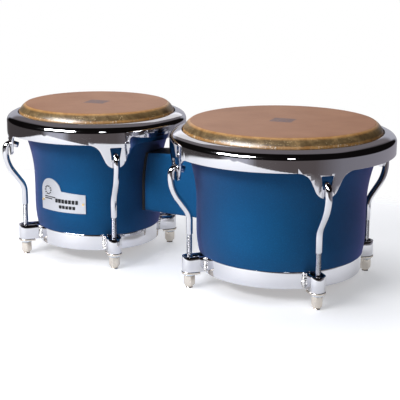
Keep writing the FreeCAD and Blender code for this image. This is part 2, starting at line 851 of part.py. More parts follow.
def make_welds(drum):
    """Weld beads in the two corners between each strap and the ring."""
    beads = []
    bead = given("weld_radius")
    height = RING_TOP - BRACKET_BOTTOM - bead
    side = given("bracket_radius") + given("fit_gap")
    ring = given(f"{drum}_ring_outer")
    for corner in CORNERS:
        for hand in (-1, 1):
            name = f"{drum}_weld_{corner}_{'a' if hand < 0 else 'b'}"
            rod = cylinder(name + "_rod", bead, height)
            place(rod, root(ring * ring - side * side) - rod_circle(drum), side * hand)
            strap = box(name + "_strap", ring, side * 2, height)
            place(strap, -ring / 2, -side)
            away = fuse(name + "_away", [strap, ring_clearance(drum, name + "_ring", height)])
            weld = cut(name, rod, away)
            beads.append(at_corner(weld, drum, corner, rod_circle(drum), BRACKET_BOTTOM + bead / 2))
    keep(f"{drum}_bracket_welds", group(f"{drum}_bracket_welds", beads))


# ---------------------------------------------------------------------------------------------
# Centre block
# ---------------------------------------------------------------------------------------------
def block_blank(name, width):
    """The block's side outline between the drums' axes, its top edge slightly crowned."""
    left = AXIS_X["small"] + given("small_waist") / 2
    right = AXIS_X["large"] - given("large_waist") / 2
    half = (right - left) / 2
    crown = given("block_crown")
    radius = (half * half + crown * crown) / (crown * 2)
    low = given("block_bottom")
    high = below_head("block_shoulder")
    points = [(left, low), (right, low), (right, high), (left, high)]
    return padded(name, points, width, arcs={2: (radius, 1)}, plane="XZ_Plane", both_ways=True)


def make_block():
    blank = block_blank("block_blank", given("block_width"))
    gap = given("gasket") + given("fit_gap")
    tools = []
    for drum in DRUMS:
        tools.append(core(drum, gap, "block_saddle"))
        start = given(f"{drum}_waist")
        tools += bolt_rods(drum, "insert_hole", given("bolt_radius") + given("thread_clearance"),
                           start, given("gasket") + given("bolt_depth"))
    keep("centre_block", cut("centre_block", blank, fuse("block_tools", tools)))


def make_gasket(drum):
    """A rubber saddle between the shell and the block, with holes for the bolts."""
    blank = block_blank(f"{drum}_gasket_blank", given("block_width"))
    outside = common(f"{drum}_gasket_outside", blank, core(drum, given("gasket"), "gasket_face"))
    hole = given("bolt_radius") + given("washer_clearance")
    tools = bolt_rods(drum, "gasket_hole", hole, given(f"{drum}_waist") / 2, given(f"{drum}_waist"))
    tools.append(core(drum, given("fit_gap"), "gasket_back"))
    away = fuse(f"{drum}_gasket_tools", tools)
    keep(f"{drum}_block_gasket", cut(f"{drum}_block_gasket", outside, away))


def make_block_bolts(drum):
    """Two hexagon bolts from inside each shell into the block, on wide washers."""
    inside = given(f"{drum}_waist") - given("wall")
    wide = given("bolt_washer_radius")
    seat = root(inside * inside - wide * wide) - given("fit_gap")
    thick = given("bolt_washer_thickness")
    head = given("bolt_head_height")
    end = given(f"{drum}_waist") + given("gasket") + given("bolt_depth") - given("fit_gap") * 10
    shanks = bolt_rods(drum, "bolt_shank", given("bolt_radius"), seat - thick, end - seat + thick)
    discs = bolt_rods(drum, "bolt_disc", wide, seat - thick, thick)
    holes = bolt_rods(drum, "bolt_disc_hole", given("bolt_radius") + given("washer_clearance"),
                      seat - thick, thick)
    bolts = []
    washers = []
    for k, level in enumerate(BOLT_LEVELS):
        nut = hexagon(f"{drum}_bolt_head_{level}", given("bolt_head_flats"), head)
        start = seat - thick - head
        first = AXIS_X[drum] + start if inward(drum) > 0 else AXIS_X[drum] - start - head
        along_x(nut, first, ZERO, BOLT_LEVELS[level])
        bolts.append(fuse(f"{drum}_bolt_{level}", [shanks[k], nut]))
        washers.append(cut(f"{drum}_bolt_washer_{level}", discs[k], holes[k]))
    keep(f"{drum}_block_bolts", group(f"{drum}_block_bolts", bolts))
    keep(f"{drum}_bolt_washers", group(f"{drum}_bolt_washers", washers))


# ---------------------------------------------------------------------------------------------
# Badge
# ---------------------------------------------------------------------------------------------
def badge_outline():
    """A plate with a half-round hump over its left end, seen from the front."""
    half = given("badge_half_width")
    hump = given("badge_hump_radius")
    top = given("badge_top")
    spring = top - given("badge_gap")
    meet = hump * 2 - half
    return [(-half, given("badge_bottom")), (half, given("badge_bottom")), (half, top),
            (meet, top), (meet - hump, spring + hump), (-half, spring)], hump


def make_badge():
    points, hump = badge_outline()
    arcs = {3: (hump + given("badge_gap"), 1), 4: (hump + given("badge_gap"), 1)}
    reach = given("small_waist") * 2
    blank = padded("badge_blank", points, reach, arcs=arcs, plane="XZ_Plane")
    place(blank, AXIS_X["small"])
    inner = given("small_waist") + given("badge_gap")
    height = given("head_height")
    bent = cut("badge_bend", cylinder("badge_outer_face", inner + given("badge_sheet"), height),
               cylinder("badge_inner_face", inner, height))
    place(bent, AXIS_X["small"])
    plate = common("badge_plate", bent, blank)
    holes = pin_rods("badge_hole", given("pin_radius") + given("fit_gap"),
                     -given("badge_sheet"), given("badge_sheet") * 4)
    keep("badge", cut("badge", plate, fuse("badge_holes", holes)))
    face = given("badge_gap") + given("badge_sheet") + given("fit_gap") * 2
    depth = given("pin_depth") - given("fit_gap")
    nails = pin_rods("pin_nail", given("pin_radius"), -depth, depth + face)
    heads = pin_rods("pin_head", given("pin_head_radius"), face, given("pin_head_height"))
    pins = [fuse(f"badge_pin_{k}", [nail, head]) for k, (nail, head) in enumerate(zip(nails, heads))]
    keep("badge_pins", group("badge_pins", pins))


# ---------------------------------------------------------------------------------------------
# Build, check and write
# ---------------------------------------------------------------------------------------------
def build():
    for drum in DRUMS:
        make_shell(drum)
        make_bottom_ring(drum)
        make_membrane(drum)
        make_collar(drum)
        make_hoop(drum)
        make_tuck(drum)
        make_rim(drum)
        make_washers(drum)
        make_plates(drum)
        make_brackets(drum)
        make_welds(drum)
        make_gasket(drum)
        make_block_bolts(drum)
        for corner in CORNERS:
            make_hook(drum, corner)
            make_nut(drum, corner)
    make_block()
    make_badge()


def check():
    """Stop if any object of the document failed or any sub-part is empty or broken."""
    for item in doc.Objects:
        if "Invalid" in item.State or "Error" in item.State:
            raise RuntimeError(f"{item.Label} failed: {item.State}")
    for label, item in PARTS.items():
        if item.Shape.isNull() or not item.Shape.isValid() or not item.Shape.Solids:
            raise RuntimeError(f"{label} has no valid solid")


def write():
    os.makedirs("parts", exist_ok=True)
    for label, item in PARTS.items():
        item.Shape.exportStep(f"parts/{label}.step")
        bounds = item.Shape.BoundBox
        print(f"{label}: {len(item.Shape.Solids)} solid(s), {item.Shape.Volume / 1000:.1f} cm3, "
              f"x {bounds.XMin:.1f} to {bounds.XMax:.1f}, y {bounds.YMin:.1f} to {bounds.YMax:.1f}, "
              f"z {bounds.ZMin:.1f} to {bounds.ZMax:.1f}")


build()
doc.recompute()
check()
write()
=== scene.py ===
# %% [markdown]
# # A pair of bongo drums
# Two wooden shells under a metallic lacquer, rawhide heads, chromed rims and hooks. The plain
# model with its true sizes is loaded first. Every piece made below replaces one of its plain
# pieces at the same place, with finer curves, rounded edges and a finish of its own.

import math

import bmesh
import bpy
from bmesh.types import BMEdge, BMVert
from mathutils import Matrix, Vector, noise


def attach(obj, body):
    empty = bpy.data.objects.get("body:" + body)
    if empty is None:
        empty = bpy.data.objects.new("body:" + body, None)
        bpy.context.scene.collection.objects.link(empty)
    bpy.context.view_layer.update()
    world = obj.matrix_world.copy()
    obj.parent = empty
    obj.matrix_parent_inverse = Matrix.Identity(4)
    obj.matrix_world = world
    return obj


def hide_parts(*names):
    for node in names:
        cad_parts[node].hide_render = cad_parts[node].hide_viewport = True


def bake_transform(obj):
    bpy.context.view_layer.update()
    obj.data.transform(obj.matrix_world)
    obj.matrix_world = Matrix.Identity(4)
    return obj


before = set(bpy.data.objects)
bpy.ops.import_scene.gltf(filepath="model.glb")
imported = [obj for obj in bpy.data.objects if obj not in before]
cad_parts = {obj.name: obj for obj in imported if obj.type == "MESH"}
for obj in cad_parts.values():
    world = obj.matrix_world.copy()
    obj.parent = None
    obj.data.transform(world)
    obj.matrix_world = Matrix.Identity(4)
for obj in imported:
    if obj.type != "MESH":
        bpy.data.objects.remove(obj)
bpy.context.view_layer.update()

# %% [markdown]
# ## Sizes
# All shapes are worked out in millimetres, round each drum's own axis, and moved to their place
# in metres when they are finished. These few sizes say how the two drums differ, and the ones
# that more than one piece follows are named here as well.

# %% Sizes of the two drums
MM = 0.001
DRUMS = {
    "small": {"x": -129.2, "rim": 105.2, "waist": 74.9, "ring": 72.0, "turn": 0.8},
    "large": {"x": 112.6, "rim": 121.8, "waist": 92.3, "ring": 89.0, "turn": 2.2},
}
CORNERS = {"back_right": 45, "back_left": 135, "front_left": 225, "front_right": 315}
RIM_WIDTH = 13.94
ROD_INSET = 17.2
HEAD_TOP = 178.0
SHOULDER_WIDTH = 8.6
SHOULDER_END = 167.6
HOOP_OUT, HOOP_HEIGHT = 3.85, 159.3
RING_BOTTOM, RING_TOP = 16.6, 35.8
FACING = 29.55
for name, drum in DRUMS.items():
    drum["head"] = drum["rim"] - RIM_WIDTH
    drum["rod"] = drum["rim"] - ROD_INSET
    print(name, "drum: rim", 2 * drum["rim"], "mm, head", round(2 * drum["head"]), "mm across")

# %% [markdown]
# ## Camera
# A long lens from the front right, a little above the heads, so that the far drum is hardly
# smaller than the near one. The camera's three axes are worked out from a heading, a tilt and a
# very slight roll, and put into its matrix.

# %% Camera
def add_camera(place, heading, tilt, roll, lens):
    """Place in millimetres, angles in degrees; heading 0 looks along +Y."""
    heading, tilt, roll = (math.radians(a) for a in (heading, tilt, roll))
    level = math.cos(tilt)
    ahead = Vector((-math.sin(heading) * level, math.cos(heading) * level, math.sin(tilt)))
    right = Vector((math.cos(heading), math.sin(heading), 0))
    up = right.cross(ahead)
    right, up = (right * math.cos(roll) + up * math.sin(roll), up * math.cos(roll) - right * math.sin(roll))
    camera = bpy.data.objects.new("camera", bpy.data.cameras.new("camera"))
    camera.matrix_world = Matrix((right, up, -ahead)).transposed().to_4x4()
    camera.location = Vector(place) * MM
    camera.data.lens = lens
    camera.data.sensor_width = 36
    camera.data.clip_end = 20
    bpy.context.scene.collection.objects.link(camera)
    bpy.context.scene.camera = camera
    return camera


camera = add_camera((618.9, -1072.5, 387.2), FACING, -14.14, 0.24, 100.49)
print("camera", round(camera.location.length, 2), "m away, lens", camera.data.lens)

# %% [markdown]
# ## Helpers for shaders
# Materials are graphs of nodes. One helper adds a node and fills its sockets, so each material
# below reads as a short list of what it is made of.

# %% Shader helpers
def add_node(tree, kind, inputs=None, **settings):
    """Adds a shader node; an input is a number, a colour or another node's output socket."""
    made = tree.nodes.new("ShaderNode" + kind)
    for key, value in settings.items():
        setattr(made, key, value)
    for key, value in (inputs or {}).items():
        if isinstance(value, bpy.types.NodeSocket):
            tree.links.new(value, made.inputs[key])
        else:
            made.inputs[key].default_value = value
    return made


def new_material(name):
    material = bpy.data.materials.new(name)
    material.use_nodes = True
    tree = material.node_tree
    return material, tree, tree.nodes["Principled BSDF"]


def feed(tree, shader, **links):
    """Links sockets into the Principled shader; underscores stand for spaces."""
    for key, value in links.items():
        socket = shader.inputs[key.replace("_", " ")]
        if isinstance(value, bpy.types.NodeSocket):
            tree.links.new(value, socket)
        else:
            socket.default_value = value


def ramp(tree, factor, stops, interpolation="LINEAR"):
    """A colour ramp; stops are (position, colour)."""
    made = add_node(tree, "ValToRGB", {"Fac": factor})
    made.color_ramp.interpolation = interpolation
    points = made.color_ramp.elements
    while len(points) < len(stops):
        points.new(0.5)
    for point, (position, colour) in zip(points, stops):
        point.position = position
        point.color = (*colour, 1)
    return made.outputs["Color"]


def grey(value):
    return (value, value, value)


def object_place(tree):
    return add_node(tree, "TexCoord").outputs["Object"]


def rough_pattern(tree, place, scale, detail, **more):
    """A noise pattern; `more` holds the values of further sockets."""
    settings = {"Vector": place, "Scale": scale, "Detail": detail, **more}
    return add_node(tree, "TexNoise", settings).outputs[0]


def bumped(tree, strength, distance, height, **more):
    settings = {"Strength": strength, "Distance": distance, "Height": height, **more}
    return add_node(tree, "Bump", settings).outputs[0]


def calculate(tree, operation, *values):
    return add_node(tree, "Math", dict(enumerate(values)), operation=operation).outputs[0]


def mix_colour(tree, factor, first, second, blend="MIX"):
    made = add_node(tree, "Mix", data_type="RGBA", blend_type=blend)
    for socket, value in ((made.inputs[0], factor), (made.inputs[6], first), (made.inputs[7], second)):
        if isinstance(value, bpy.types.NodeSocket):
            tree.links.new(value, socket)
        elif socket.type == "RGBA":
            socket.default_value = (*value, 1)
        else:
            socket.default_value = value
    return made.outputs[2]


print("shader helpers ready")

# %% [markdown]
# ## Shared effects
# Plated metal is never perfectly even: handling leaves soft blotches in its gloss, pressing
# leaves a faint waviness, and polishing leaves fine upright streaks. All three come from one
# node group, used by every metal here with its own strengths.

# %% Node group: plating
def build_group(name, inputs, outputs):
    group = bpy.data.node_groups.new(name, "ShaderNodeTree")
    for label, value in inputs.items():
        socket = group.interface.new_socket(name=label, in_out="INPUT", socket_type="NodeSocketFloat")
        socket.default_value = value
    for label, kind in outputs.items():
        group.interface.new_socket(name=label, in_out="OUTPUT", socket_type=kind)
    return group, group.nodes.new("NodeGroupInput"), group.nodes.new("NodeGroupOutput")


def build_plating():
    group, given, result = build_group(
        "plating",
        {"Gloss": 0.06, "Blotches": 0.08, "Blotch Scale": 40, "Waviness": 0.05, "Wave Scale": 25,
         "Streaks": 0.0},
        {"Roughness": "NodeSocketFloat", "Normal": "NodeSocketVector"},
    )
    place = object_place(group)
    blotches = rough_pattern(group, place, given.outputs["Blotch Scale"], 4)
    spread = add_node(group, "MapRange",
                      {"Value": blotches, "From Min": 0.35, "From Max": 0.75,
                       "To Min": 0, "To Max": given.outputs["Blotches"]})
    total = calculate(group, "ADD", given.outputs["Gloss"], spread.outputs[0])
    group.links.new(total, result.inputs["Roughness"])
    waves = rough_pattern(group, place, given.outputs["Wave Scale"], 1)
    wavy = bumped(group, given.outputs["Waviness"], 0.001, waves)
    upright = add_node(group, "Mapping", {"Vector": place, "Scale": (1, 1, 0.03)})
    marks = rough_pattern(group, upright.outputs[0], 420, 3)
    brushed = bumped(group, given.outputs["Streaks"], 0.0002, marks, Normal=wavy)
    group.links.new(brushed, result.inputs["Normal"])
    return group


def add_group(tree, group, **values):
    made = tree.nodes.new("ShaderNodeGroup")
    made.node_tree = group
    for key, value in values.items():
        made.inputs[key.replace("_", " ")].default_value = value
    return made


plating = build_plating()
print("plating outputs:", [socket.name for socket in plating.interface.items_tree])

# %% [markdown]
# ## Metals
# Chrome is almost a mirror, so nearly all of its look is the room around it. Nickel is warmer
# and a little duller, zinc is bluer and duller still, and brass is yellow. The badge's silver is
# brushed, so it mirrors nothing sharply.

# %% Metals
def metal(name, colour, **values):
    material, tree, shader = new_material(name)
    finish = add_group(tree, plating, **values)
    feed(tree, shader, Base_Color=(*colour, 1), Metallic=1.0,
         Roughness=finish.outputs["Roughness"], Normal=finish.outputs["Normal"])
    return material


chrome = metal("chrome", (0.60, 0.60, 0.63), Gloss=0.03, Blotches=0.05, Waviness=0.03, Streaks=0.12)
nickel = metal("nickel", (0.62, 0.57, 0.51), Gloss=0.16, Blotches=0.15, Waviness=0.15)
silver = metal("silver", (0.55, 0.56, 0.60), Gloss=0.3, Blotches=0.1, Waviness=0.05)
zinc = metal("zinc", (0.62, 0.68, 0.76), Gloss=0.22, Blotches=0.15, Waviness=0.1)
brass = metal("brass", (0.78, 0.58, 0.28), Gloss=0.15, Blotches=0.2, Waviness=0.1)
weld_metal = metal("weld_metal", (0.74, 0.73, 0.72), Gloss=0.12, Blotches=0.25, Blotch_Scale=400,
                   Waviness=0.4, Wave_Scale=500)
print("metals:", [made.name for made in (chrome, nickel, silver, zinc, brass, weld_metal)])

# %% [markdown]
# ## Lacquer
# The shells and the block wear a satin flip-flop lacquer: fine metal flakes in a teal blue base
# that looks violet at a grazing angle. The flakes are the cells of a Voronoi pattern, each with
# its own tilt and brightness. The violet is gloss, not paint: it comes from the edge tint of the
# metal and from a violet sheen.

# %% Lacquer
def lacquer_material():
    material, tree, shader = new_material("lacquer")
    place = object_place(tree)
    flakes = add_node(tree, "TexVoronoi", {"Vector": place, "Scale": 2600})
    chance = add_node(tree, "SeparateColor", {"Color": flakes.outputs["Color"]})
    clouds = rough_pattern(tree, place, 9, 3)
    base = ramp(tree, clouds, [(0.3, (0.0012, 0.053, 0.142)), (0.7, (0.0017, 0.066, 0.168))])
    sparkle = ramp(tree, chance.outputs[0], [(0.0, grey(0.85)), (0.85, grey(1.0)), (1.0, grey(1.5))])
    colour = mix_colour(tree, 1.0, base, sparkle, "MULTIPLY")
    tilt = bumped(tree, 0.12, 0.0003, chance.outputs[1])
    feed(tree, shader, Base_Color=colour, Metallic=0.93, Roughness=0.66, Normal=tilt,
         Specular_Tint=(0.55, 0.38, 0.9, 1), Coat_Weight=0.06, Coat_Roughness=0.4,
         Sheen_Weight=0.35, Sheen_Roughness=0.5, Sheen_Tint=(0.50, 0.40, 0.66, 1))
    return material


lacquer = lacquer_material()
print("lacquer made")

# %% [markdown]
# ## Plain finishes
# The bare wood inside the shells, the black rubber of the gaskets, and a black used for the badge's
# marks and as painted shade on the block's top, which lies in the shade between the two rims.

# %% Wood, rubber, and black for marks and painted shade
def wood_material():
    material, tree, shader = new_material("bare_wood")
    along = add_node(tree, "Mapping", {"Vector": object_place(tree), "Scale": (60, 60, 6)})
    grain = rough_pattern(tree, along.outputs[0], 4, 8)
    colour = ramp(tree, grain, [(0.3, (0.20, 0.10, 0.05)), (0.7, (0.42, 0.25, 0.13))])
    bump = bumped(tree, 0.3, 0.0005, grain)
    feed(tree, shader, Base_Color=colour, Roughness=0.6, Normal=bump)
    return material


def dark_material(name, colour, roughness, scale):
    """A dark, dull material whose roughness varies a little from place to place."""
    material, tree, shader = new_material(name)
    grain = rough_pattern(tree, object_place(tree), scale, 5)
    spread = add_node(tree, "MapRange", {"Value": grain, "To Min": roughness - 0.1,
                                                   "To Max": roughness + 0.1})
    feed(tree, shader, Base_Color=(*colour, 1), Roughness=spread.outputs[0],
         Normal=bumped(tree, 0.2, 0.0003, grain), Specular_IOR_Level=0.25)
    return material


bare_wood = wood_material()
rubber = dark_material("rubber", (0.006, 0.006, 0.007), 0.7, 900)
# A black for the badge's marks; on the block's top the same black is painted shade.
black_marks_and_painted_shade = dark_material("black_marks_and_painted_shade", (0.008, 0.009, 0.012), 0.4, 300)
print("plain finishes made")

# %% [markdown]
# ## Rawhide
# The hide is tan and pinkish where it is flat, with a fine grain. Where it bends down over the
# shell it is stretched thin and oiled, so it turns smoky gold and glossy, with pale flecks. A
# golden line marks the bend, and the lowest part is frayed. The zones follow the distance from
# the drum's axis and, lower down, the height; noise makes their borders wander.

# %% Rawhide
def hide_coordinates(tree, drum):
    """The place on the hide measured from the drum's axis, and the distance from that axis."""
    centred = add_node(tree, "Mapping", {"Vector": object_place(tree),
                                                   "Location": (-drum["x"] * MM, 0, 0)})
    parts = add_node(tree, "SeparateXYZ", {"Vector": centred.outputs[0]})
    flat = add_node(tree, "CombineXYZ", {"X": parts.outputs[0], "Y": parts.outputs[1]})
    distance = add_node(tree, "VectorMath", {0: flat.outputs[0]}, operation="LENGTH")
    return centred.outputs[0], distance.outputs["Value"], parts.outputs[2]


def wander(tree, place, value, scale, amount):
    """Lets a boundary wander by adding a little noise to the value it follows."""
    centred = calculate(tree, "SUBTRACT", rough_pattern(tree, place, scale, 6), 0.5)
    shift = calculate(tree, "MULTIPLY", centred, amount)
    return calculate(tree, "ADD", value, shift)


def share_of(tree, value, start, length):
    """How far a value has come from a start, as a share of a length."""
    return calculate(tree, "DIVIDE", calculate(tree, "SUBTRACT", value, start), length)


def fleck_mask(tree, place, scale, size, low, high):
    """Small round flecks that gather in patches."""
    cells = add_node(tree, "TexVoronoi", {"Vector": place, "Scale": scale})
    dots = ramp(tree, cells.outputs["Distance"], [(size * 0.6, grey(1)), (size, grey(0))])
    patches = rough_pattern(tree, place, scale / 6, 3)
    gathered = ramp(tree, patches, [(low, grey(0)), (high, grey(1))])
    return mix_colour(tree, 1.0, dots, gathered, "MULTIPLY")


def shoulder_colour(tree, place, veins, bend, height):
    """Smoky gold with pale flecks, a golden line along the bend and a frayed lower part."""
    smoky = ramp(tree, veins, [(0.35, (0.10, 0.060, 0.026)), (0.5, (0.19, 0.125, 0.055)),
                               (0.66, (0.36, 0.235, 0.105))])
    gold = ramp(tree, veins, [(0.35, (0.40, 0.18, 0.045)), (0.65, (0.62, 0.36, 0.14))])
    flecks = fleck_mask(tree, place, 620, 0.30, 0.50, 0.64)
    flecked = mix_colour(tree, flecks, smoky, (0.72, 0.55, 0.30))
    line = ramp(tree, bend, [(0.26, grey(1)), (0.46, grey(0))])
    lined = mix_colour(tree, line, flecked, gold)
    level = share_of(tree, wander(tree, place, height, 260, 0.0016), 0.168, 0.01)
    fibres = fleck_mask(tree, place, 420, 0.42, 0.40, 0.56)
    frayed = mix_colour(tree, fibres, gold, (0.86, 0.76, 0.58))
    return mix_colour(tree, ramp(tree, level, [(0.19, grey(1)), (0.27, grey(0))]), lined, frayed)


def hide_material(name, drum):
    material, tree, shader = new_material(f"{name}_rawhide")
    place, distance, height = hide_coordinates(tree, drum)
    mottle = rough_pattern(tree, place, 22, 7, Roughness=0.6)
    tan = ramp(tree, mottle, [(0.3, (0.325, 0.152, 0.083)), (0.7, (0.40, 0.202, 0.115))])
    veins = rough_pattern(tree, place, 60, 8, Roughness=0.75, Distortion=1.5)
    edge = (drum["head"] - SHOULDER_WIDTH) * MM
    bend = share_of(tree, wander(tree, place, distance, 120, 0.0010), edge, 0.008)
    over = ramp(tree, bend, [(0.0, grey(0)), (0.05, grey(1))])
    shoulder = shoulder_colour(tree, place, veins, bend, height)
    colour = stamp_over(tree, place, mix_colour(tree, over, tan, shoulder))
    wrinkles = bumped(tree, 0.3, 0.0006, veins)
    grain = bumped(tree, 0.25, 0.0004, rough_pattern(tree, place, 900, 4), Normal=wrinkles)
    gloss = ramp(tree, over, [(0, grey(0.55)), (1, grey(0.32))])
    feed(tree, shader, Base_Color=colour, Roughness=gloss, Normal=grain)
    return material


def stamp_over(tree, place, colour):
    """A small printed mark in the middle of the head: a square of short, broken stripes."""
    turned = add_node(tree, "Mapping", {"Vector": place,
                                                  "Rotation": (0, 0, math.radians(-9.5))})
    parts = add_node(tree, "SeparateXYZ", {"Vector": turned.outputs[0]})
    across = calculate(tree, "ABSOLUTE", parts.outputs[0])
    along = calculate(tree, "ABSOLUTE", parts.outputs[1])
    inside = calculate(tree, "MULTIPLY", calculate(tree, "LESS_THAN", across, 0.0122),
                       calculate(tree, "LESS_THAN", along, 0.0118))
    wave = calculate(tree, "SINE", calculate(tree, "MULTIPLY", parts.outputs[1], 1900))
    stripes = calculate(tree, "GREATER_THAN", wave, -0.55)
    ink = ramp(tree, rough_pattern(tree, place, 500, 3), [(0.35, grey(0.55)), (0.55, grey(1))])
    mark = calculate(tree, "MULTIPLY", calculate(tree, "MULTIPLY", inside, stripes), ink)
    return mix_colour(tree, mark, colour, (0.085, 0.085, 0.12))


hides = {name: hide_material(name, drum) for name, drum in DRUMS.items()}
print("hides:", [material.name for material in hides.values()])

# %% [markdown]
# ## Helpers for shapes
# Most of a drum is turned: a profile spun once round the axis. `finish` is the last step of
# every piece. It closes seams, turns faces outwards, moves the mesh to its drum in metres, and
# hands the piece to the body it moves with.

# %% Shape helpers
def arc(centre, radius, start, end, count):
    """Points along an arc in the plane of a profile, angles in degrees."""
    angles = [math.radians(start + (end - start) * k / count) for k in range(count + 1)]
    return [(centre[0] + radius * math.cos(a), centre[1] + radius * math.sin(a)) for a in angles]


def spun(profile, steps=128):
    """A closed profile of (radius, height) spun round the vertical axis."""
    shape = bmesh.new()
    points = [shape.verts.new((r, 0, z)) for r, z in profile]
    edges = [shape.edges.new((points[k - 1], points[k])) for k in range(len(points))]
    bmesh.ops.spin(shape, geom=points + edges, cent=(0, 0, 0), axis=(0, 0, 1),
                   angle=math.tau, steps=steps, use_merge=True)
    bmesh.ops.remove_doubles(shape, verts=shape.verts, dist=0.001)
    return shape


def round_edges(shape, width, segments=3, angle=30):
    """Rounds every edge sharper than an angle in degrees."""
    limit = math.radians(angle)
    sharp = [e for e in shape.edges if len(e.link_faces) == 2 and e.calc_face_angle() > limit]
    bmesh.ops.bevel(shape, geom=sharp, offset=width, segments=segments, profile=0.5,
                    affect="EDGES", material=-1, clamp_overlap=True)


def everything(shape):
    return shape.verts[:] + shape.edges[:] + shape.faces[:]


def only(kind, geometry):
    return [g for g in geometry if isinstance(g, kind)]


def finish(shape, name, material, body, slot, replaces, at=0.0, sharp=40):
    """Makes the object, with its drum's axis at a distance along X; materials may be a list."""
    bmesh.ops.remove_doubles(shape, verts=shape.verts, dist=0.0005)
    bmesh.ops.recalc_face_normals(shape, faces=shape.faces)
    shape.transform(Matrix.Scale(MM, 4) @ Matrix.Translation((at, 0, 0)))
    mesh = bpy.data.meshes.new(name)
    shape.to_mesh(mesh)
    shape.free()
    mesh.shade_smooth()
    mesh.set_sharp_from_angle(angle=math.radians(sharp))
    for one in material if isinstance(material, list) else [material]:
        mesh.materials.append(one)
    made = bpy.data.objects.new(name, mesh)
    bpy.context.scene.collection.objects.link(made)
    if body:
        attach(made, body)
    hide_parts(*replaces)
    print(name, len(mesh.polygons), "faces")
    return made


def for_both(make):
    for name, drum in DRUMS.items():
        make(name, drum)


def joined(shapes):
    """Several bmeshes in one."""
    whole = bmesh.new()
    for shape in shapes:
        mesh = bpy.data.meshes.new("part")
        shape.to_mesh(mesh)
        shape.free()
        whole.from_mesh(mesh)
        bpy.data.meshes.remove(mesh)
    return whole


def to_corner(drum, angle, across=0.0, out=0.0):
    """The move from the drum's axis out to the rod at a corner, turned to face outwards."""
    turn = Matrix.Rotation(math.radians(angle + drum["turn"]), 4, "Z")
    return turn @ Matrix.Translation((drum["rod"] + out, across, 0))


def at_corners(drum, make):
    """One copy of a shape at each lug."""
    copies = []
    for angle in CORNERS.values():
        copies.append(make())
        copies[-1].transform(to_corner(drum, angle))
    return joined(copies)


print("shape helpers ready")

# %% [markdown]
# ## Shells
# A shell is turned from staves: drawn in at the foot, straight at the waist and flared under the
# head. The wall's whole section is one closed profile, so a single spin makes the outside, the
# bearing edge and the inside. The inner faces get bare wood.

# %% Shells
TAPER_START, TAPER_RADIUS = 60.0, 121.0
FLARE_START, FLARE_RISE, FLARE_RADIUS = 89.0, 47.0, 150.0
WALL = 9.0


def shell_outside(drum):
    """Points up the outside, from the top of the bottom ring to the bearing edge."""
    waist, collar = drum["waist"], drum["head"] - 3.6
    foot = math.degrees(math.asin((TAPER_START - RING_TOP) / TAPER_RADIUS))
    flare = math.degrees(math.asin(FLARE_RISE / FLARE_RADIUS))
    lower = arc((waist - TAPER_RADIUS, TAPER_START), TAPER_RADIUS, -foot, 0, 8)
    upper = arc((waist + FLARE_RADIUS, FLARE_START), FLARE_RADIUS, 180, 180 - flare, 14)
    return lower + upper + [(collar, 152.0), (collar, 166.0)]


def make_shell(name, drum):
    flat = drum["head"] - SHOULDER_WIDTH
    inside = drum["waist"] - WALL
    profile = [(drum["ring"] - 2.05, 18.7), (drum["ring"] - 2.05, RING_TOP)] + shell_outside(drum)
    profile += [(flat - 0.05, 176.1), (flat - 3.4, 176.1), (flat - 5.0, 174.6)]
    inner = [(drum["waist"] - 1.5, 136.0), (inside, 122.4), (inside, 18.7)]
    shape = spun(profile + inner, 160)
    bmesh.ops.recalc_face_normals(shape, faces=shape.faces)
    for face in shape.faces:
        middle = face.calc_center_median()
        inward = face.normal.x * middle.x + face.normal.y * middle.y < -0.1
        face.material_index = int(inward and middle.z < 175)
    finish(shape, f"{name}_lacquered_shell", [lacquer, bare_wood], "shells", "shell_lacquer",
           [f"{name}_shell"], drum["x"])


for_both(make_shell)

# %% [markdown]
# ## Bottom rings
# Each shell stands in a pressed steel angle ring: a band outside and a flange under the wood,
# spun from one profile with its two outer edges rounded.

# %% Bottom rings
RING_SHEET, FLANGE = 2, 8


def make_bottom_ring(name, drum):
    outer, inner = drum["ring"], drum["ring"] - RING_SHEET
    low, high = 1.6, 0.8
    profile = [(outer - FLANGE, RING_BOTTOM), (outer - low, RING_BOTTOM)]
    profile += arc((outer - low, RING_BOTTOM + low), low, -75, 0, 4)
    profile += arc((outer - high, RING_TOP - high), high, 0, 90, 3)
    profile += [(inner, RING_TOP), (inner, RING_BOTTOM + RING_SHEET),
                (outer - FLANGE, RING_BOTTOM + RING_SHEET)]
    finish(spun(profile, 160), f"{name}_foot_ring", chrome, "shells", "chrome",
           [f"{name}_bottom_ring"], drum["x"])


for_both(make_bottom_ring)

# %% [markdown]
# ## Heads
# The hide is soaked, wrapped round a steel hoop and pulled down over the shell. It is one skin:
# a flat disc, a rounded shoulder, a collar down to the hoop, and a tuck under and outside it.
# When the head is tuned the tuck goes down with the rim and the disc stays, so the skin bends
# between the two.

# %% Heads
HIDE = 1.8
SHOULDER_RADIUS = 16.0


def shoulder_arc(flat, outer):
    """The shoulder's centre, and the angles at which its arc starts and ends."""
    rise = HEAD_TOP - SHOULDER_END
    chord = math.hypot(outer - flat, rise)
    middle = ((flat + outer) / 2, HEAD_TOP - rise / 2)
    depth = math.sqrt(SHOULDER_RADIUS ** 2 - (chord / 2) ** 2)
    centre = (middle[0] - depth * rise / chord, middle[1] - depth * (outer - flat) / chord)
    first = math.degrees(math.atan2(HEAD_TOP - centre[1], flat - centre[0]))
    last = math.degrees(math.atan2(SHOULDER_END - centre[1], outer - centre[0]))
    return centre, first, last


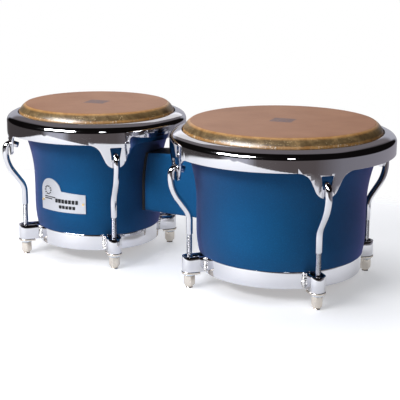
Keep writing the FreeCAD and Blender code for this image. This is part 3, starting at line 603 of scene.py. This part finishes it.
def make_head(name, drum):
    flat, outer = drum["head"] - SHOULDER_WIDTH, drum["head"] - 0.5
    hoop = (drum["head"] + HOOP_OUT, HOOP_HEIGHT)
    centre, first, last = shoulder_arc(flat, outer)
    rings = [(k / 12 * (flat - 2), HEAD_TOP) for k in range(13)]
    profile = rings + [(flat - 0.8, HEAD_TOP - 0.03)]
    profile += arc(centre, SHOULDER_RADIUS, first - 3, last, 10)
    profile += [(outer, 164.0), (outer, 161.5)]
    profile += arc(hoop, 5.85, 200, 395, 14)
    profile += arc(hoop, 4.05, 395, 195, 12)
    profile += [(outer - HIDE, 160.5), (outer - HIDE, SHOULDER_END)]
    profile += arc(centre, SHOULDER_RADIUS - HIDE, last, first, 8)
    profile += [(x, z - HIDE) for x, z in reversed(rings)]
    skin = finish(spun(profile, 160), f"{name}_hide", hides[name], None, "hide",
                  [f"{name}_head_membrane", f"{name}_head_collar", f"{name}_hide_tuck"],
                  drum["x"])
    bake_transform(skin)


for_both(make_head)

# %% [markdown]
# ## Rims
# A rim is pressed from sheet: a crown rolled over the hoop, an upright band, and four ears that
# hang from it, each with a window for its hook. It is made as the sheet is: the outline of one
# ear and its share of the band is laid out flat, filled, sliced into narrow upright strips, bent
# round the drum and repeated four times. The crown is extruded up from the band's top edge.
# Solidify gives the sheet its thickness and Bevel rounds its edges.

# %% Rims
SHEET = 2.4
BAND_TOP, BAND_BOTTOM = 158.8, 146.6
EAR_BOTTOM, EAR_LEAN = 119.6, 2.4
EAR_TIP, EAR_FILLET, EAR_FLARE = 13, 16, 25


def ear_outline(reach):
    """Right half of an ear's outline, from its lowest point out along the band's bottom edge."""
    tip = arc((0, EAR_BOTTOM + EAR_TIP), EAR_TIP, -90, -EAR_FLARE, 9)
    flare = math.radians(EAR_FLARE)
    side_x, side_z = tip[-1]
    start_z = BAND_BOTTOM - EAR_FILLET + EAR_FILLET * math.sin(flare)
    start_x = side_x + (start_z - side_z) * math.tan(flare)
    centre = (start_x + EAR_FILLET * math.cos(flare), BAND_BOTTOM - EAR_FILLET)
    fillet = arc(centre, EAR_FILLET, 180 - EAR_FLARE, 90, 9)
    return tip + fillet + [(reach, BAND_BOTTOM)]


def window_outline():
    """The window: wider at the top, with small round corners."""
    return (arc((3.7, 130.1), 1.0, -90, 0, 3) + arc((5.3, 141.9), 1.2, 0, 90, 3)
            + arc((-5.3, 141.9), 1.2, 90, 180, 3) + arc((-3.7, 130.1), 1.0, 180, 270, 3))


def loop_edges(shape, points):
    corners = [shape.verts.new((x, 0, z)) for x, z in points]
    return [shape.edges.new((corners[k - 1], corners[k])) for k in range(len(corners))]


def flat_sector(radius, strips):
    """A quarter of the sheet, flat, sliced into upright strips."""
    reach = radius * math.pi / 4
    right = ear_outline(reach)
    left = [(-x, z) for x, z in reversed(right[1:])]
    outline = left + right + [(reach, BAND_TOP), (-reach, BAND_TOP)]
    shape = bmesh.new()
    edges = loop_edges(shape, outline) + loop_edges(shape, window_outline())
    bmesh.ops.triangle_fill(shape, use_beauty=True, edges=edges)
    for k in range(1, strips):
        slice_at = -reach + 2 * reach * k / strips
        bmesh.ops.bisect_plane(shape, geom=everything(shape), dist=0.02,
                               plane_co=(slice_at, 0, 0), plane_no=(1, 0, 0))
    bmesh.ops.bisect_plane(shape, geom=everything(shape), dist=0.02,
                           plane_co=(0, 0, BAND_BOTTOM), plane_no=(0, 0, 1))
    bmesh.ops.remove_doubles(shape, verts=shape.verts, dist=0.05)
    return shape


def bend_round(shape, radius):
    for vertex in shape.verts:
        along, height = vertex.co.x, vertex.co.z
        low = max(0.0, (BAND_BOTTOM - height) / (BAND_BOTTOM - EAR_BOTTOM + SHEET))
        reach = radius - EAR_LEAN * low
        angle = along / radius
        vertex.co = (reach * math.cos(angle), reach * math.sin(angle), height)


def raise_crown(shape, radius):
    """Extrudes the band's top edge over the hoop, one step of the crown's profile at a time."""
    steps = arc((radius - 7.5, BAND_TOP), 7.5, 0, 60, 8)[1:]
    steps += arc((radius - 16.25, 143.64), 25.0, 60, 82.5, 5)[1:]
    edge = [e for e in shape.edges if all(abs(v.co.z - BAND_TOP) < 0.01 for v in e.verts)]
    for reach, height in steps:
        grown = bmesh.ops.extrude_edge_only(shape, edges=edge)["geom"]
        edge = [e for e in grown if isinstance(e, BMEdge)
                and all(v in grown for v in e.verts)]
        for vertex in {v for e in edge for v in e.verts}:
            flat = Vector((vertex.co.x, vertex.co.y)).normalized() * reach
            vertex.co = (flat.x, flat.y, height)


def make_rim(name, drum):
    radius = drum["rim"]
    shape = flat_sector(radius, strips=44)
    bend_round(shape, radius)
    bmesh.ops.spin(shape, geom=everything(shape), cent=(0, 0, 0),
                   axis=(0, 0, 1), angle=math.tau * 3 / 4, steps=3, use_duplicate=True)
    bmesh.ops.remove_doubles(shape, verts=shape.verts, dist=0.02)
    raise_crown(shape, radius)
    shape.transform(Matrix.Rotation(math.radians(45 + drum["turn"]), 4, "Z"))
    rim = finish(shape, f"{name}_pressed_rim", chrome, f"{name}_tension", "chrome", [f"{name}_rim"],
                 drum["x"])
    thickness = rim.modifiers.new("thickness", "SOLIDIFY")
    thickness.thickness = SHEET * MM
    thickness.offset = -1
    rounding = rim.modifiers.new("rounding", "BEVEL")
    rounding.width = 1.0 * MM
    rounding.segments = 3
    rounding.limit_method = "ANGLE"
    rounding.angle_limit = math.radians(50)


for_both(make_rim)

# %% [markdown]
# ## Tuning hooks
# A hook is a rod bent cold: threaded below, a jog outwards past the rim, and a crook over the
# window's lower edge. A ring of points is pushed along the straight runs and spun round the
# bends, as the bar is bent. The thread is a real helix: one tooth's profile spun round the rod
# while it climbs.

# %% Tuning hooks
ROD, CHAMFER = 3.6, 0.5
JOG, JOG_LEAN, JOG_LOWER, JOG_UPPER = 20.5, 36, 22, 40
JOG_START = 75
CROOK, CROOK_HEIGHT, TIP_DROP = 6.5, 127.1, 20
THREAD_LOW, THREAD_HIGH = 5.6, 59.9


def push(shape, edges, move):
    """Extrudes an open loop of edges along a vector and gives the new loop."""
    grown = bmesh.ops.extrude_edge_only(shape, edges=edges)["geom"]
    points = only(BMVert, grown)
    bmesh.ops.translate(shape, verts=points, vec=move)
    return [g for g in grown if isinstance(g, BMEdge) and all(v in points for v in g.verts)]


def bend(shape, edges, centre, angle, steps):
    """Spins a loop of edges round a bend in the XZ plane; a positive angle leans it outwards."""
    swept = bmesh.ops.spin(shape, geom=edges, cent=centre, axis=(0, 1, 0),
                           angle=math.radians(angle), steps=steps)
    return only(BMEdge, swept["geom_last"])


def hook_rod():
    """The rod above its thread, from the foot up; each step leaves the loop at its free end."""
    lean, over = math.radians(JOG_LEAN), math.radians(TIP_DROP)
    shape = bmesh.new()
    bmesh.ops.create_circle(shape, cap_ends=True, segments=20, radius=ROD - CHAMFER,
                            matrix=Matrix.Translation((0, 0, 59.6)))
    edges = push(shape, shape.edges[:], (0, 0, 0.8))
    for vertex in {v for e in edges for v in e.verts}:
        vertex.co.x *= ROD / (ROD - CHAMFER)
        vertex.co.y *= ROD / (ROD - CHAMFER)
    edges = push(shape, edges, (0, 0, 14.6))
    edges = bend(shape, edges, (JOG_LOWER, 0, JOG_START), JOG_LEAN, 8)
    start_x = JOG_LOWER * (1 - math.cos(lean))
    start_z = JOG_START + JOG_LOWER * math.sin(lean)
    end_x = JOG - JOG_UPPER * (1 - math.cos(lean))
    run = (end_x - start_x) / math.sin(lean)
    edges = push(shape, edges, (run * math.sin(lean), 0, run * math.cos(lean)))
    top = start_z + run * math.cos(lean) + JOG_UPPER * math.sin(lean)
    edges = bend(shape, edges, (JOG - JOG_UPPER, 0, top), -JOG_LEAN, 10)
    edges = push(shape, edges, (0, 0, CROOK_HEIGHT - top))
    edges = bend(shape, edges, (JOG - CROOK, 0, CROOK_HEIGHT), -90 - TIP_DROP, 14)
    for length in (5.9, 0.5):
        edges = push(shape, edges, (-length * math.cos(over), 0, -length * math.sin(over)))
    points = list({v for e in edges for v in e.verts})
    middle = sum((v.co for v in points), Vector()) / len(points)
    bmesh.ops.scale(shape, vec=(0.86, 0.86, 0.86), space=Matrix.Translation(-middle), verts=points)
    bmesh.ops.contextual_create(shape, geom=edges)
    return shape


def thread(low, high, crest, root_radius, pitch=1.0, steps=16):
    """A rod with a V thread: one tooth spun up the rod, cut flat at both ends."""
    turns = math.ceil((high - low) / pitch) + 2
    shape = bmesh.new()
    tooth = [(root_radius, 0), (crest, 0.42 * pitch), (crest, 0.58 * pitch), (root_radius, pitch)]
    points = [shape.verts.new((r, 0, low - 1.5 * pitch + z)) for r, z in tooth]
    edges = [shape.edges.new(pair) for pair in zip(points, points[1:])]
    bmesh.ops.spin(shape, geom=points + edges, cent=(0, 0, 0), axis=(0, 0, 1),
                   dvec=(0, 0, pitch / steps), angle=math.tau * turns, steps=turns * steps)
    bmesh.ops.remove_doubles(shape, verts=shape.verts, dist=0.01)
    for height, way in ((low, -1), (high, 1)):
        cut = bmesh.ops.bisect_plane(shape, geom=everything(shape),
                                     plane_co=(0, 0, height), plane_no=(0, 0, way), clear_outer=True)
        rim = only(BMEdge, cut["geom_cut"])
        bmesh.ops.contextual_create(shape, geom=rim)
    return shape


def make_hooks(name, drum):
    for corner, angle in CORNERS.items():
        shape = joined([hook_rod(), thread(THREAD_LOW, THREAD_HIGH, crest=3.0, root_radius=2.45)])
        shape.transform(to_corner(drum, angle))
        finish(shape, f"{name}_bent_hook_{corner}", chrome, f"{name}_tension", "chrome",
               [f"{name}_hook_{corner}"], drum["x"], sharp=50)


for_both(make_hooks)

# %% [markdown]
# ## Nuts
# Deep hexagon nuts with a domed lower end, which the drums stand on. The hexagon is a six-sided
# prism with rounded edges, bored through for the rod, and the dome is spun. The bore is open at
# the foot, so that the rod can come down through it as the head is drawn tighter.

# %% Nuts
def bore(shape, radius, low, high, segments=24):
    """Cuts a round hole up through a solid with flat ends at two heights."""
    ends = [f for f in shape.faces if abs(f.normal.z) > 0.999]
    bmesh.ops.delete(shape, geom=ends, context="FACES_ONLY")
    rims = [e for e in shape.edges if e.is_boundary]
    wall = bmesh.ops.create_cone(shape, cap_ends=False, segments=segments, radius1=radius,
                                 radius2=radius, depth=high - low,
                                 matrix=Matrix.Translation((0, 0, (low + high) / 2)))
    rims += [e for e in {e for v in wall["verts"] for e in v.link_edges} if e.is_boundary]
    for height in (low, high):
        level = [e for e in rims if all(abs(v.co.z - height) < 0.01 for v in e.verts)]
        bmesh.ops.triangle_fill(shape, use_beauty=True, edges=level)
    bmesh.ops.recalc_face_normals(shape, faces=shape.faces)


def nut_shape():
    low, high, corner = 3.5, 14.5, 6.45
    prism = bmesh.new()
    bmesh.ops.create_cone(prism, cap_ends=True, segments=6, radius1=corner, radius2=corner,
                          depth=high - low, matrix=Matrix.Translation((0, 0, (low + high) / 2)))
    round_edges(prism, 0.55, 3)
    bore(prism, 3.2, low, high)
    dome = [(3.3, 0.0), (3.9, 0.0)] + arc((0.6, 5.2), 5.1, -58, -8, 6) + [(5.5, 6.0), (3.3, 6.0)]
    return joined([prism, spun(dome, 28)])


def make_nuts(name, drum):
    for corner, angle in CORNERS.items():
        shape = nut_shape()
        shape.transform(to_corner(drum, angle))
        finish(shape, f"{name}_domed_nut_{corner}", nickel, f"{name}_nut_{corner}", "steel",
               [f"{name}_nut_{corner}"], drum["x"], sharp=30)


for_both(make_nuts)

# %% [markdown]
# ## Washers
# Under each lug there is a plate that closes it, and under the plate a round zinc washer.

# %% Washers
PLATE_BOTTOM, PLATE_HALF = 16.0, 8.7


def washer_shape():
    edge = arc((6.6, 14.9), 0.4, -90, 0, 3) + arc((6.6, 15.6), 0.4, 0, 90, 3)
    return spun([(3.4, 14.5)] + edge + [(3.4, PLATE_BOTTOM)], 32)


def plate_shape():
    """A solid plate with a half-round outer end: a half circle spun from one point."""
    shape = bmesh.new()
    first = shape.verts.new((0, -PLATE_HALF, PLATE_BOTTOM))
    last = bmesh.ops.spin(shape, geom=[first], cent=(0, 0, 0), axis=(0, 0, 1), angle=math.pi, steps=16)
    end = only(BMVert, last["geom_last"])[0]
    inner = [shape.verts.new((-10.0, side * PLATE_HALF, PLATE_BOTTOM)) for side in (1, -1)]
    chain = [end] + inner + [first]
    edges = [shape.edges.new(pair) for pair in zip(chain, chain[1:])]
    face = bmesh.ops.contextual_create(shape, geom=shape.edges[:])["faces"]
    grown = bmesh.ops.extrude_face_region(shape, geom=face)["geom"]
    bmesh.ops.translate(shape, verts=only(BMVert, grown), vec=(0, 0, 2.5))
    bmesh.ops.recalc_face_normals(shape, faces=shape.faces)
    round_edges(shape, 0.5, 3, 60)
    return shape


def make_washers(name, drum):
    finish(at_corners(drum, washer_shape), f"{name}_zinc_washers", zinc, "shells", "zinc",
           [f"{name}_round_washers"], drum["x"])
    finish(at_corners(drum, plate_shape), f"{name}_lug_plates", nickel, "shells", "steel",
           [f"{name}_plate_washers"], drum["x"])


for_both(make_washers)

# %% [markdown]
# ## Lugs and welds
# A lug is a strap bent into a U and welded to the bottom ring. Its rectangular section is pushed
# along one leg, spun round the bend and pushed back along the other. The weld beads are lumpy:
# a rippled profile spun, then pushed about by noise.

# %% Lugs and welds
noise.seed_set(1)  # the lumps are the same on every run
STRAP_BOTTOM, STRAP_TOP = 18.5, 35.8
STRAP_INNER, STRAP_OUTER = 6.2, 8.2


def strap_shape(reach):
    shape = bmesh.new()
    section = [(STRAP_INNER, STRAP_BOTTOM), (STRAP_OUTER, STRAP_BOTTOM),
               (STRAP_OUTER, STRAP_TOP), (STRAP_INNER, STRAP_TOP)]
    points = [shape.verts.new((-reach, -y, z)) for y, z in section]
    edges = [shape.edges.new((points[k - 1], points[k])) for k in range(4)]
    shape.faces.new(points)
    edges = push(shape, edges, (reach, 0, 0))
    swept = bmesh.ops.spin(shape, geom=edges, cent=(0, 0, 0), axis=(0, 0, 1), angle=math.pi, steps=18)
    edges = only(BMEdge, swept["geom_last"])
    edges = push(shape, edges, (-reach, 0, 0))
    bmesh.ops.contextual_create(shape, geom=edges)
    bmesh.ops.recalc_face_normals(shape, faces=shape.faces)
    round_edges(shape, 0.45, 2, 60)
    return shape


def bead_shape(seed):
    low, high, count = STRAP_BOTTOM + 0.6, STRAP_TOP - 1.2, 26
    profile = [(0, low - 0.9)]
    for k in range(count + 1):
        z = low + (high - low) * k / count
        profile.append((1.75 + 0.30 * math.sin(k * 1.35 + seed), z))
    profile.append((0, high + 0.9))
    shape = spun(profile, 12)
    for vertex in shape.verts:
        vertex.co += noise.noise_vector(vertex.co * 0.55 + Vector((seed, 0, 0))) * 0.45
    return shape


def lug_beads(drum):
    inward = math.sqrt(drum["ring"] ** 2 - STRAP_OUTER ** 2) - drum["rod"]
    beads = []
    for number, angle in enumerate(CORNERS.values()):
        for side in (-1, 1):
            bead = bead_shape(number * 2.3 + side)
            bead.transform(to_corner(drum, angle, side * (STRAP_OUTER + 0.4), inward + 0.4))
            beads.append(bead)
    return joined(beads)


def make_lugs(name, drum):
    leg = drum["rod"] - drum["ring"] + 1.2
    finish(at_corners(drum, lambda: strap_shape(leg)), f"{name}_lugs", chrome, "shells", "chrome",
           [f"{name}_lug_brackets"], drum["x"])
    finish(lug_beads(drum), f"{name}_weld_beads", weld_metal, "shells", "steel",
           [f"{name}_bracket_welds"], drum["x"], sharp=80)


for_both(make_lugs)

# %% [markdown]
# ## Flesh hoops
# The steel hoop inside the tucked hide, which is only seen from underneath.

# %% Flesh hoops
HOOP_WIRE = 4.0


def make_hoop(name, drum):
    section = arc((drum["head"] + HOOP_OUT, HOOP_HEIGHT), HOOP_WIRE, 0, 330, 11)
    finish(spun(section, 96), f"{name}_steel_hoop", nickel, f"{name}_tension", "steel",
           [f"{name}_flesh_hoop"], drum["x"])


for_both(make_hoop)

# %% [markdown]
# ## Centre block and gaskets
# The block is cut to sit against both shells, so its ends are hollowed to their shape. A finely
# divided cube is taken, and each row of its points is moved to lie between the two shells. The
# gaskets are made in the same way, between a shell and the block. The block's top is black:
# painted shade, standing in for the shade that falls on it between the two rims.

# %% Centre block and gaskets
BLOCK_HALF, BLOCK_LOW, BLOCK_HIGH = 17.0, 60.0, 127.8
CROWN, CROWN_MIDDLE, CROWN_HALF = 2.6, -17.0, 36.0
GASKET, TOUCH = 3.0, 0.05


def shell_radius(drum, height):
    """The shell's outside radius at a height."""
    points = shell_outside(drum)
    for (r0, z0), (r1, z1) in zip(points, points[1:]):
        if z0 <= height <= z1 and z1 > z0:
            return r0 + (r1 - r0) * (height - z0) / (z1 - z0)
    return points[0][0]


def saddle(surface, height, across):
    """Where a level line meets a shell grown by a gap; a surface is (drum, side, gap)."""
    drum, side, gap = surface
    radius = shell_radius(drum, height) + gap
    return drum["x"] + side * math.sqrt(radius ** 2 - across ** 2)


def fitted_bar(cuts, left, right):
    """A divided cube whose points are moved to lie between two surfaces."""
    shape = bmesh.new()
    bmesh.ops.create_cube(shape, size=2)
    for axis, count in enumerate(cuts):
        for k in range(1, count):
            plane = Vector((0, 0, 0))
            plane[axis] = 1
            bmesh.ops.bisect_plane(shape, geom=everything(shape),
                                   plane_co=plane * (2 * k / count - 1), plane_no=plane)
    for vertex in shape.verts:
        u, v, w = vertex.co
        across = v * BLOCK_HALF
        middle = (BLOCK_LOW + BLOCK_HIGH) / 2
        height = middle + w * (BLOCK_HIGH - BLOCK_LOW) / 2
        start, end = saddle(left, height, across), saddle(right, height, across)
        along = start + (end - start) * (u + 1) / 2
        from_middle = (along - CROWN_MIDDLE) / CROWN_HALF
        height += CROWN * max(0.0, 1 - from_middle ** 2) * max(0.0, w)
        vertex.co = (along, across, height)
    return shape


def make_block():
    gap = GASKET + TOUCH
    shape = fitted_bar((12, 6, 12), (DRUMS["small"], 1, gap), (DRUMS["large"], -1, gap))
    bmesh.ops.recalc_face_normals(shape, faces=shape.faces)
    # Faces that look up get black: painted shade for the shade the two rims cast on the block's top.
    for face in shape.faces:
        face.material_index = int(face.normal.z > 0.9)
    round_edges(shape, 1.3, 3, 55)
    finish(shape, "lacquered_block", [lacquer, black_marks_and_painted_shade], "shells", "shell_lacquer",
           ["centre_block"])


def make_gasket(name, side):
    gaps = (TOUCH, GASKET) if side > 0 else (GASKET, TOUCH)
    shape = fitted_bar((1, 6, 12), *[(DRUMS[name], side, gap) for gap in gaps])
    bmesh.ops.recalc_face_normals(shape, faces=shape.faces)
    finish(shape, f"{name}_rubber_saddle", rubber, "shells", "gasket", [f"{name}_block_gasket"])


make_block()
make_gasket("small", 1)
make_gasket("large", -1)

# %% [markdown]
# ## Badge
# A thin pressed plate bent round the small shell, with a hump over its left end, a raised border
# and a plain pattern of a ring and bars in black. The plate is laid out flat, raised by insets
# and extrusions, cut into strips and bent.

# %% Badge
BADGE_HALF, BADGE_LOW, BADGE_TOP, HUMP = 30.4, 61.0, 82.8, 15.7
BADGE_GAP, BADGE_SHEET = 0.45, 0.9


def badge_flat():
    hump = arc((-BADGE_HALF + HUMP, BADGE_TOP), HUMP, 8, 180, 18)
    points = [(-BADGE_HALF, BADGE_LOW), (BADGE_HALF, BADGE_LOW), (BADGE_HALF, BADGE_TOP)] + hump
    shape = bmesh.new()
    face = shape.faces.new([shape.verts.new((x, 0, z)) for x, z in points])
    bmesh.ops.inset_region(shape, faces=[face], thickness=1.1, use_even_offset=True)
    bmesh.ops.inset_region(shape, faces=[face], thickness=0.4, depth=-0.35, use_even_offset=True)
    return shape


def relief(points, depth=0.35):
    """A low raised figure on the badge, from its outline."""
    shape = bmesh.new()
    face = shape.faces.new([shape.verts.new((x, 0.2, z)) for x, z in points])
    grown = bmesh.ops.extrude_face_region(shape, geom=[face])["geom"]
    bmesh.ops.translate(shape, verts=only(BMVert, grown),
                        vec=(0, -depth - 0.2, 0))
    return shape


def bar(x, z, width, height):
    return relief([(x, z), (x + width, z), (x + width, z + height), (x, z + height)])


def badge_figures():
    """A ring and short bars in the hump, and two rows of bars beside it: a plain pattern."""
    ring = [relief(arc((-18.5 + 4.6 * math.cos(a), 84.5 + 4.6 * math.sin(a)), 0.75, 0, 330, 7))
            for a in [k * math.tau / 10 for k in range(10)]]
    rows = [bar(-23.5, 76.4, 16, 0.9), bar(-23.5, 74.2, 11, 0.9)]
    rows += [bar(-7 + 4.3 * k, 71.6, 2.9, 4.4) for k in range(7)]
    rows += [bar(-2 + 4.3 * k, 65.2, 2.9, 3.6) for k in range(5)]
    return joined(ring + rows)


def wrap_on_shell(shape, radius):
    """Bends a flat badge, drawn in the XZ plane, on to the shell's front."""
    for vertex in shape.verts:
        angle = vertex.co.x / 76.0 * 1.03
        reach = radius - vertex.co.y
        vertex.co = (reach * math.sin(angle), -reach * math.cos(angle), vertex.co.z)


def slice_upright(shape, half, strips):
    for k in range(1, strips):
        bmesh.ops.bisect_plane(shape, geom=everything(shape),
                               plane_co=(-half + 2 * half * k / strips, 0, 0), plane_no=(1, 0, 0))


def make_badge():
    plate = badge_flat()
    slice_upright(plate, BADGE_HALF, 24)
    bmesh.ops.solidify(plate, geom=plate.faces[:], thickness=0.55)
    figures = badge_figures()
    for face in figures.faces:
        face.material_index = 1
    shape = joined([plate, figures])
    wrap_on_shell(shape, DRUMS["small"]["waist"] + BADGE_GAP + BADGE_SHEET)
    finish(shape, "badge_plate", [silver, black_marks_and_painted_shade], "shells", "chrome", ["badge"],
           DRUMS["small"]["x"], sharp=25)


make_badge()

# %% [markdown]
# ## Pieces kept from the plain model
# The bolts and washers inside the shells and the badge's pins are small and plain enough to be
# shown as they are, in their own metals.

# %% Finish the plain pieces
for label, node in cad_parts.items():
    if node.hide_render:
        continue
    node.data.materials.clear()
    node.data.materials.append(brass if label == "badge_pins" else zinc)
    print("plain piece:", label)

# %% [markdown]
# ## Floor and light
# A plain pale floor, a large soft light from the front left, one from above, small ones from the
# front and from behind, and a dim room. Most of the room's upper half is dark, because a
# mirror-like rim only looks like metal when it has something dark to reflect between the lights.

# %% Floor
def add_floor(centre, radii, turn, fade_from):
    """A pale oval that fades out towards its edge."""
    shape = bmesh.new()
    bmesh.ops.create_circle(shape, cap_ends=True, segments=96, radius=1)
    bmesh.ops.scale(shape, vec=(*radii, 1), verts=shape.verts)
    turn = math.radians(turn)
    shape.transform(Matrix.Translation((*centre, 0)) @ Matrix.Rotation(turn, 4, "Z"))
    mesh = bpy.data.meshes.new("floor")
    shape.to_mesh(mesh)
    shape.free()
    made = bpy.data.objects.new("floor", mesh)
    bpy.context.scene.collection.objects.link(made)
    material, tree, shader = new_material("floor")
    oval = add_node(tree, "Mapping",
                    {"Vector": object_place(tree), "Location": (*centre, 0), "Scale": (*radii, 1),
                     "Rotation": (0, 0, turn)}, vector_type="TEXTURE")
    reach = add_node(tree, "VectorMath", {0: oval.outputs[0]}, operation="LENGTH")
    fade = ramp(tree, reach.outputs["Value"], [(fade_from, grey(1)), (0.99, grey(0))], "EASE")
    feed(tree, shader, Base_Color=(0.80, 0.81, 0.84, 1), Roughness=0.8, Alpha=fade,
         Emission_Color=(0.95, 0.97, 1.0, 1), Emission_Strength=0.42)
    mesh.materials.append(material)
    return made


floor = add_floor(centre=(-0.112, -0.159), radii=(0.67, 0.60), turn=FACING, fade_from=0.86)
print("floor", [round(side, 2) for side in floor.dimensions], "m")

# %% Lights
def add_light(name, place, target, size, power, mirrored=True, spreads=True):
    """A soft light. Unmirrored, it leaves no shape in the chrome; unspread, it adds only gloss."""
    data = bpy.data.lights.new(name, "AREA")
    data.shape = "RECTANGLE"
    data.size, data.size_y = size
    data.energy = power
    light = bpy.data.objects.new(name, data)
    light.location = place
    light.rotation_mode = "QUATERNION"
    light.rotation_quaternion = (Vector(target) - Vector(place)).to_track_quat("-Z", "Y")
    light.visible_glossy = mirrored
    light.visible_diffuse = spreads
    light.visible_camera = False
    bpy.context.scene.collection.objects.link(light)


add_light("softbox_left", (-0.6, -1.6, 1.15), (0, 0, 0.1), (1.3, 0.42), 26)
add_light("gloss_left", (-0.62, -1.62, 1.17), (0, 0, 0.1), (1.3, 0.42), 84, spreads=False)
add_light("softbox_front", (1.1, -1.43, 0.95), (0.1, 0, 0.1), (0.22, 0.3), 2)
add_light("softbox_top", (-0.3, 0.0, 1.8), (0, 0, 0.1), (1.5, 1.5), 20, mirrored=False)
add_light("card_behind", (-0.415, 0.65, 0.60), (-0.02, -0.02, 0.60), (0.46, 0.54), 0.60)


def lower_room(tree, x, y):
    """Tones below the horizon by bearing: 0 and 1 in front, then left, behind and right."""
    bearing = calculate(tree, "ARCTAN2", x, y)
    share = calculate(tree, "MULTIPLY_ADD", bearing, 1 / math.tau, 0.5)
    front, pale, dark = (0.13, 0.11, 0.11), (0.6, 0.61, 0.68), (0.08, 0.07, 0.07)
    return ramp(tree, share, [
        (0.0, front), (0.08, (0.17, 0.15, 0.15)), (0.11, pale), (0.16, pale), (0.19, dark),
        (0.42, dark), (0.50, (0.4, 0.4, 0.44)), (0.60, (0.36, 0.34, 0.38)),
        (0.84, (0.26, 0.25, 0.28)), (0.92, front), (1.0, front)])


def upper_room(tree, x, y, z):
    """Dark above the horizon, but for a grey wall behind."""
    side = calculate(tree, "ABSOLUTE", x)
    wall = calculate(tree, "MULTIPLY", ramp(tree, y, [(0.18, grey(0)), (0.30, grey(1))]),
                     ramp(tree, side, [(0.40, grey(1)), (0.50, grey(0))]))
    wall_tone = ramp(tree, z, [(0.24, (0.5, 0.5, 0.56)), (0.32, (0.21, 0.19, 0.20))])
    return mix_colour(tree, wall, (0.006, 0.005, 0.005), wall_tone)


def build_world():
    """White to the camera; to everything else a dark room, paler below the horizon."""
    world = bpy.data.worlds.new("studio")
    bpy.context.scene.world = world
    world.use_nodes = True
    tree = world.node_tree
    tree.nodes.clear()
    way = add_node(tree, "TexCoord").outputs["Generated"]
    turned = add_node(tree, "VectorRotate", {"Vector": way, "Angle": math.radians(-FACING)},
                      rotation_type="Z_AXIS")
    x, y, z = add_node(tree, "SeparateXYZ", {"Vector": turned.outputs[0]}).outputs
    horizon = ramp(tree, calculate(tree, "ADD", z, 0.5), [(0.44, grey(0)), (0.50, grey(1))])
    seen = mix_colour(tree, horizon, lower_room(tree, x, y), upper_room(tree, x, y, z))
    camera_sees = add_node(tree, "LightPath").outputs["Is Camera Ray"]
    colour = mix_colour(tree, camera_sees, seen, grey(1.0))
    background = add_node(tree, "Background", {"Color": colour, "Strength": 1.0})
    return add_node(tree, "OutputWorld", {"Surface": background.outputs[0]})


build_world()
bpy.context.scene.view_settings.view_transform = "Standard"
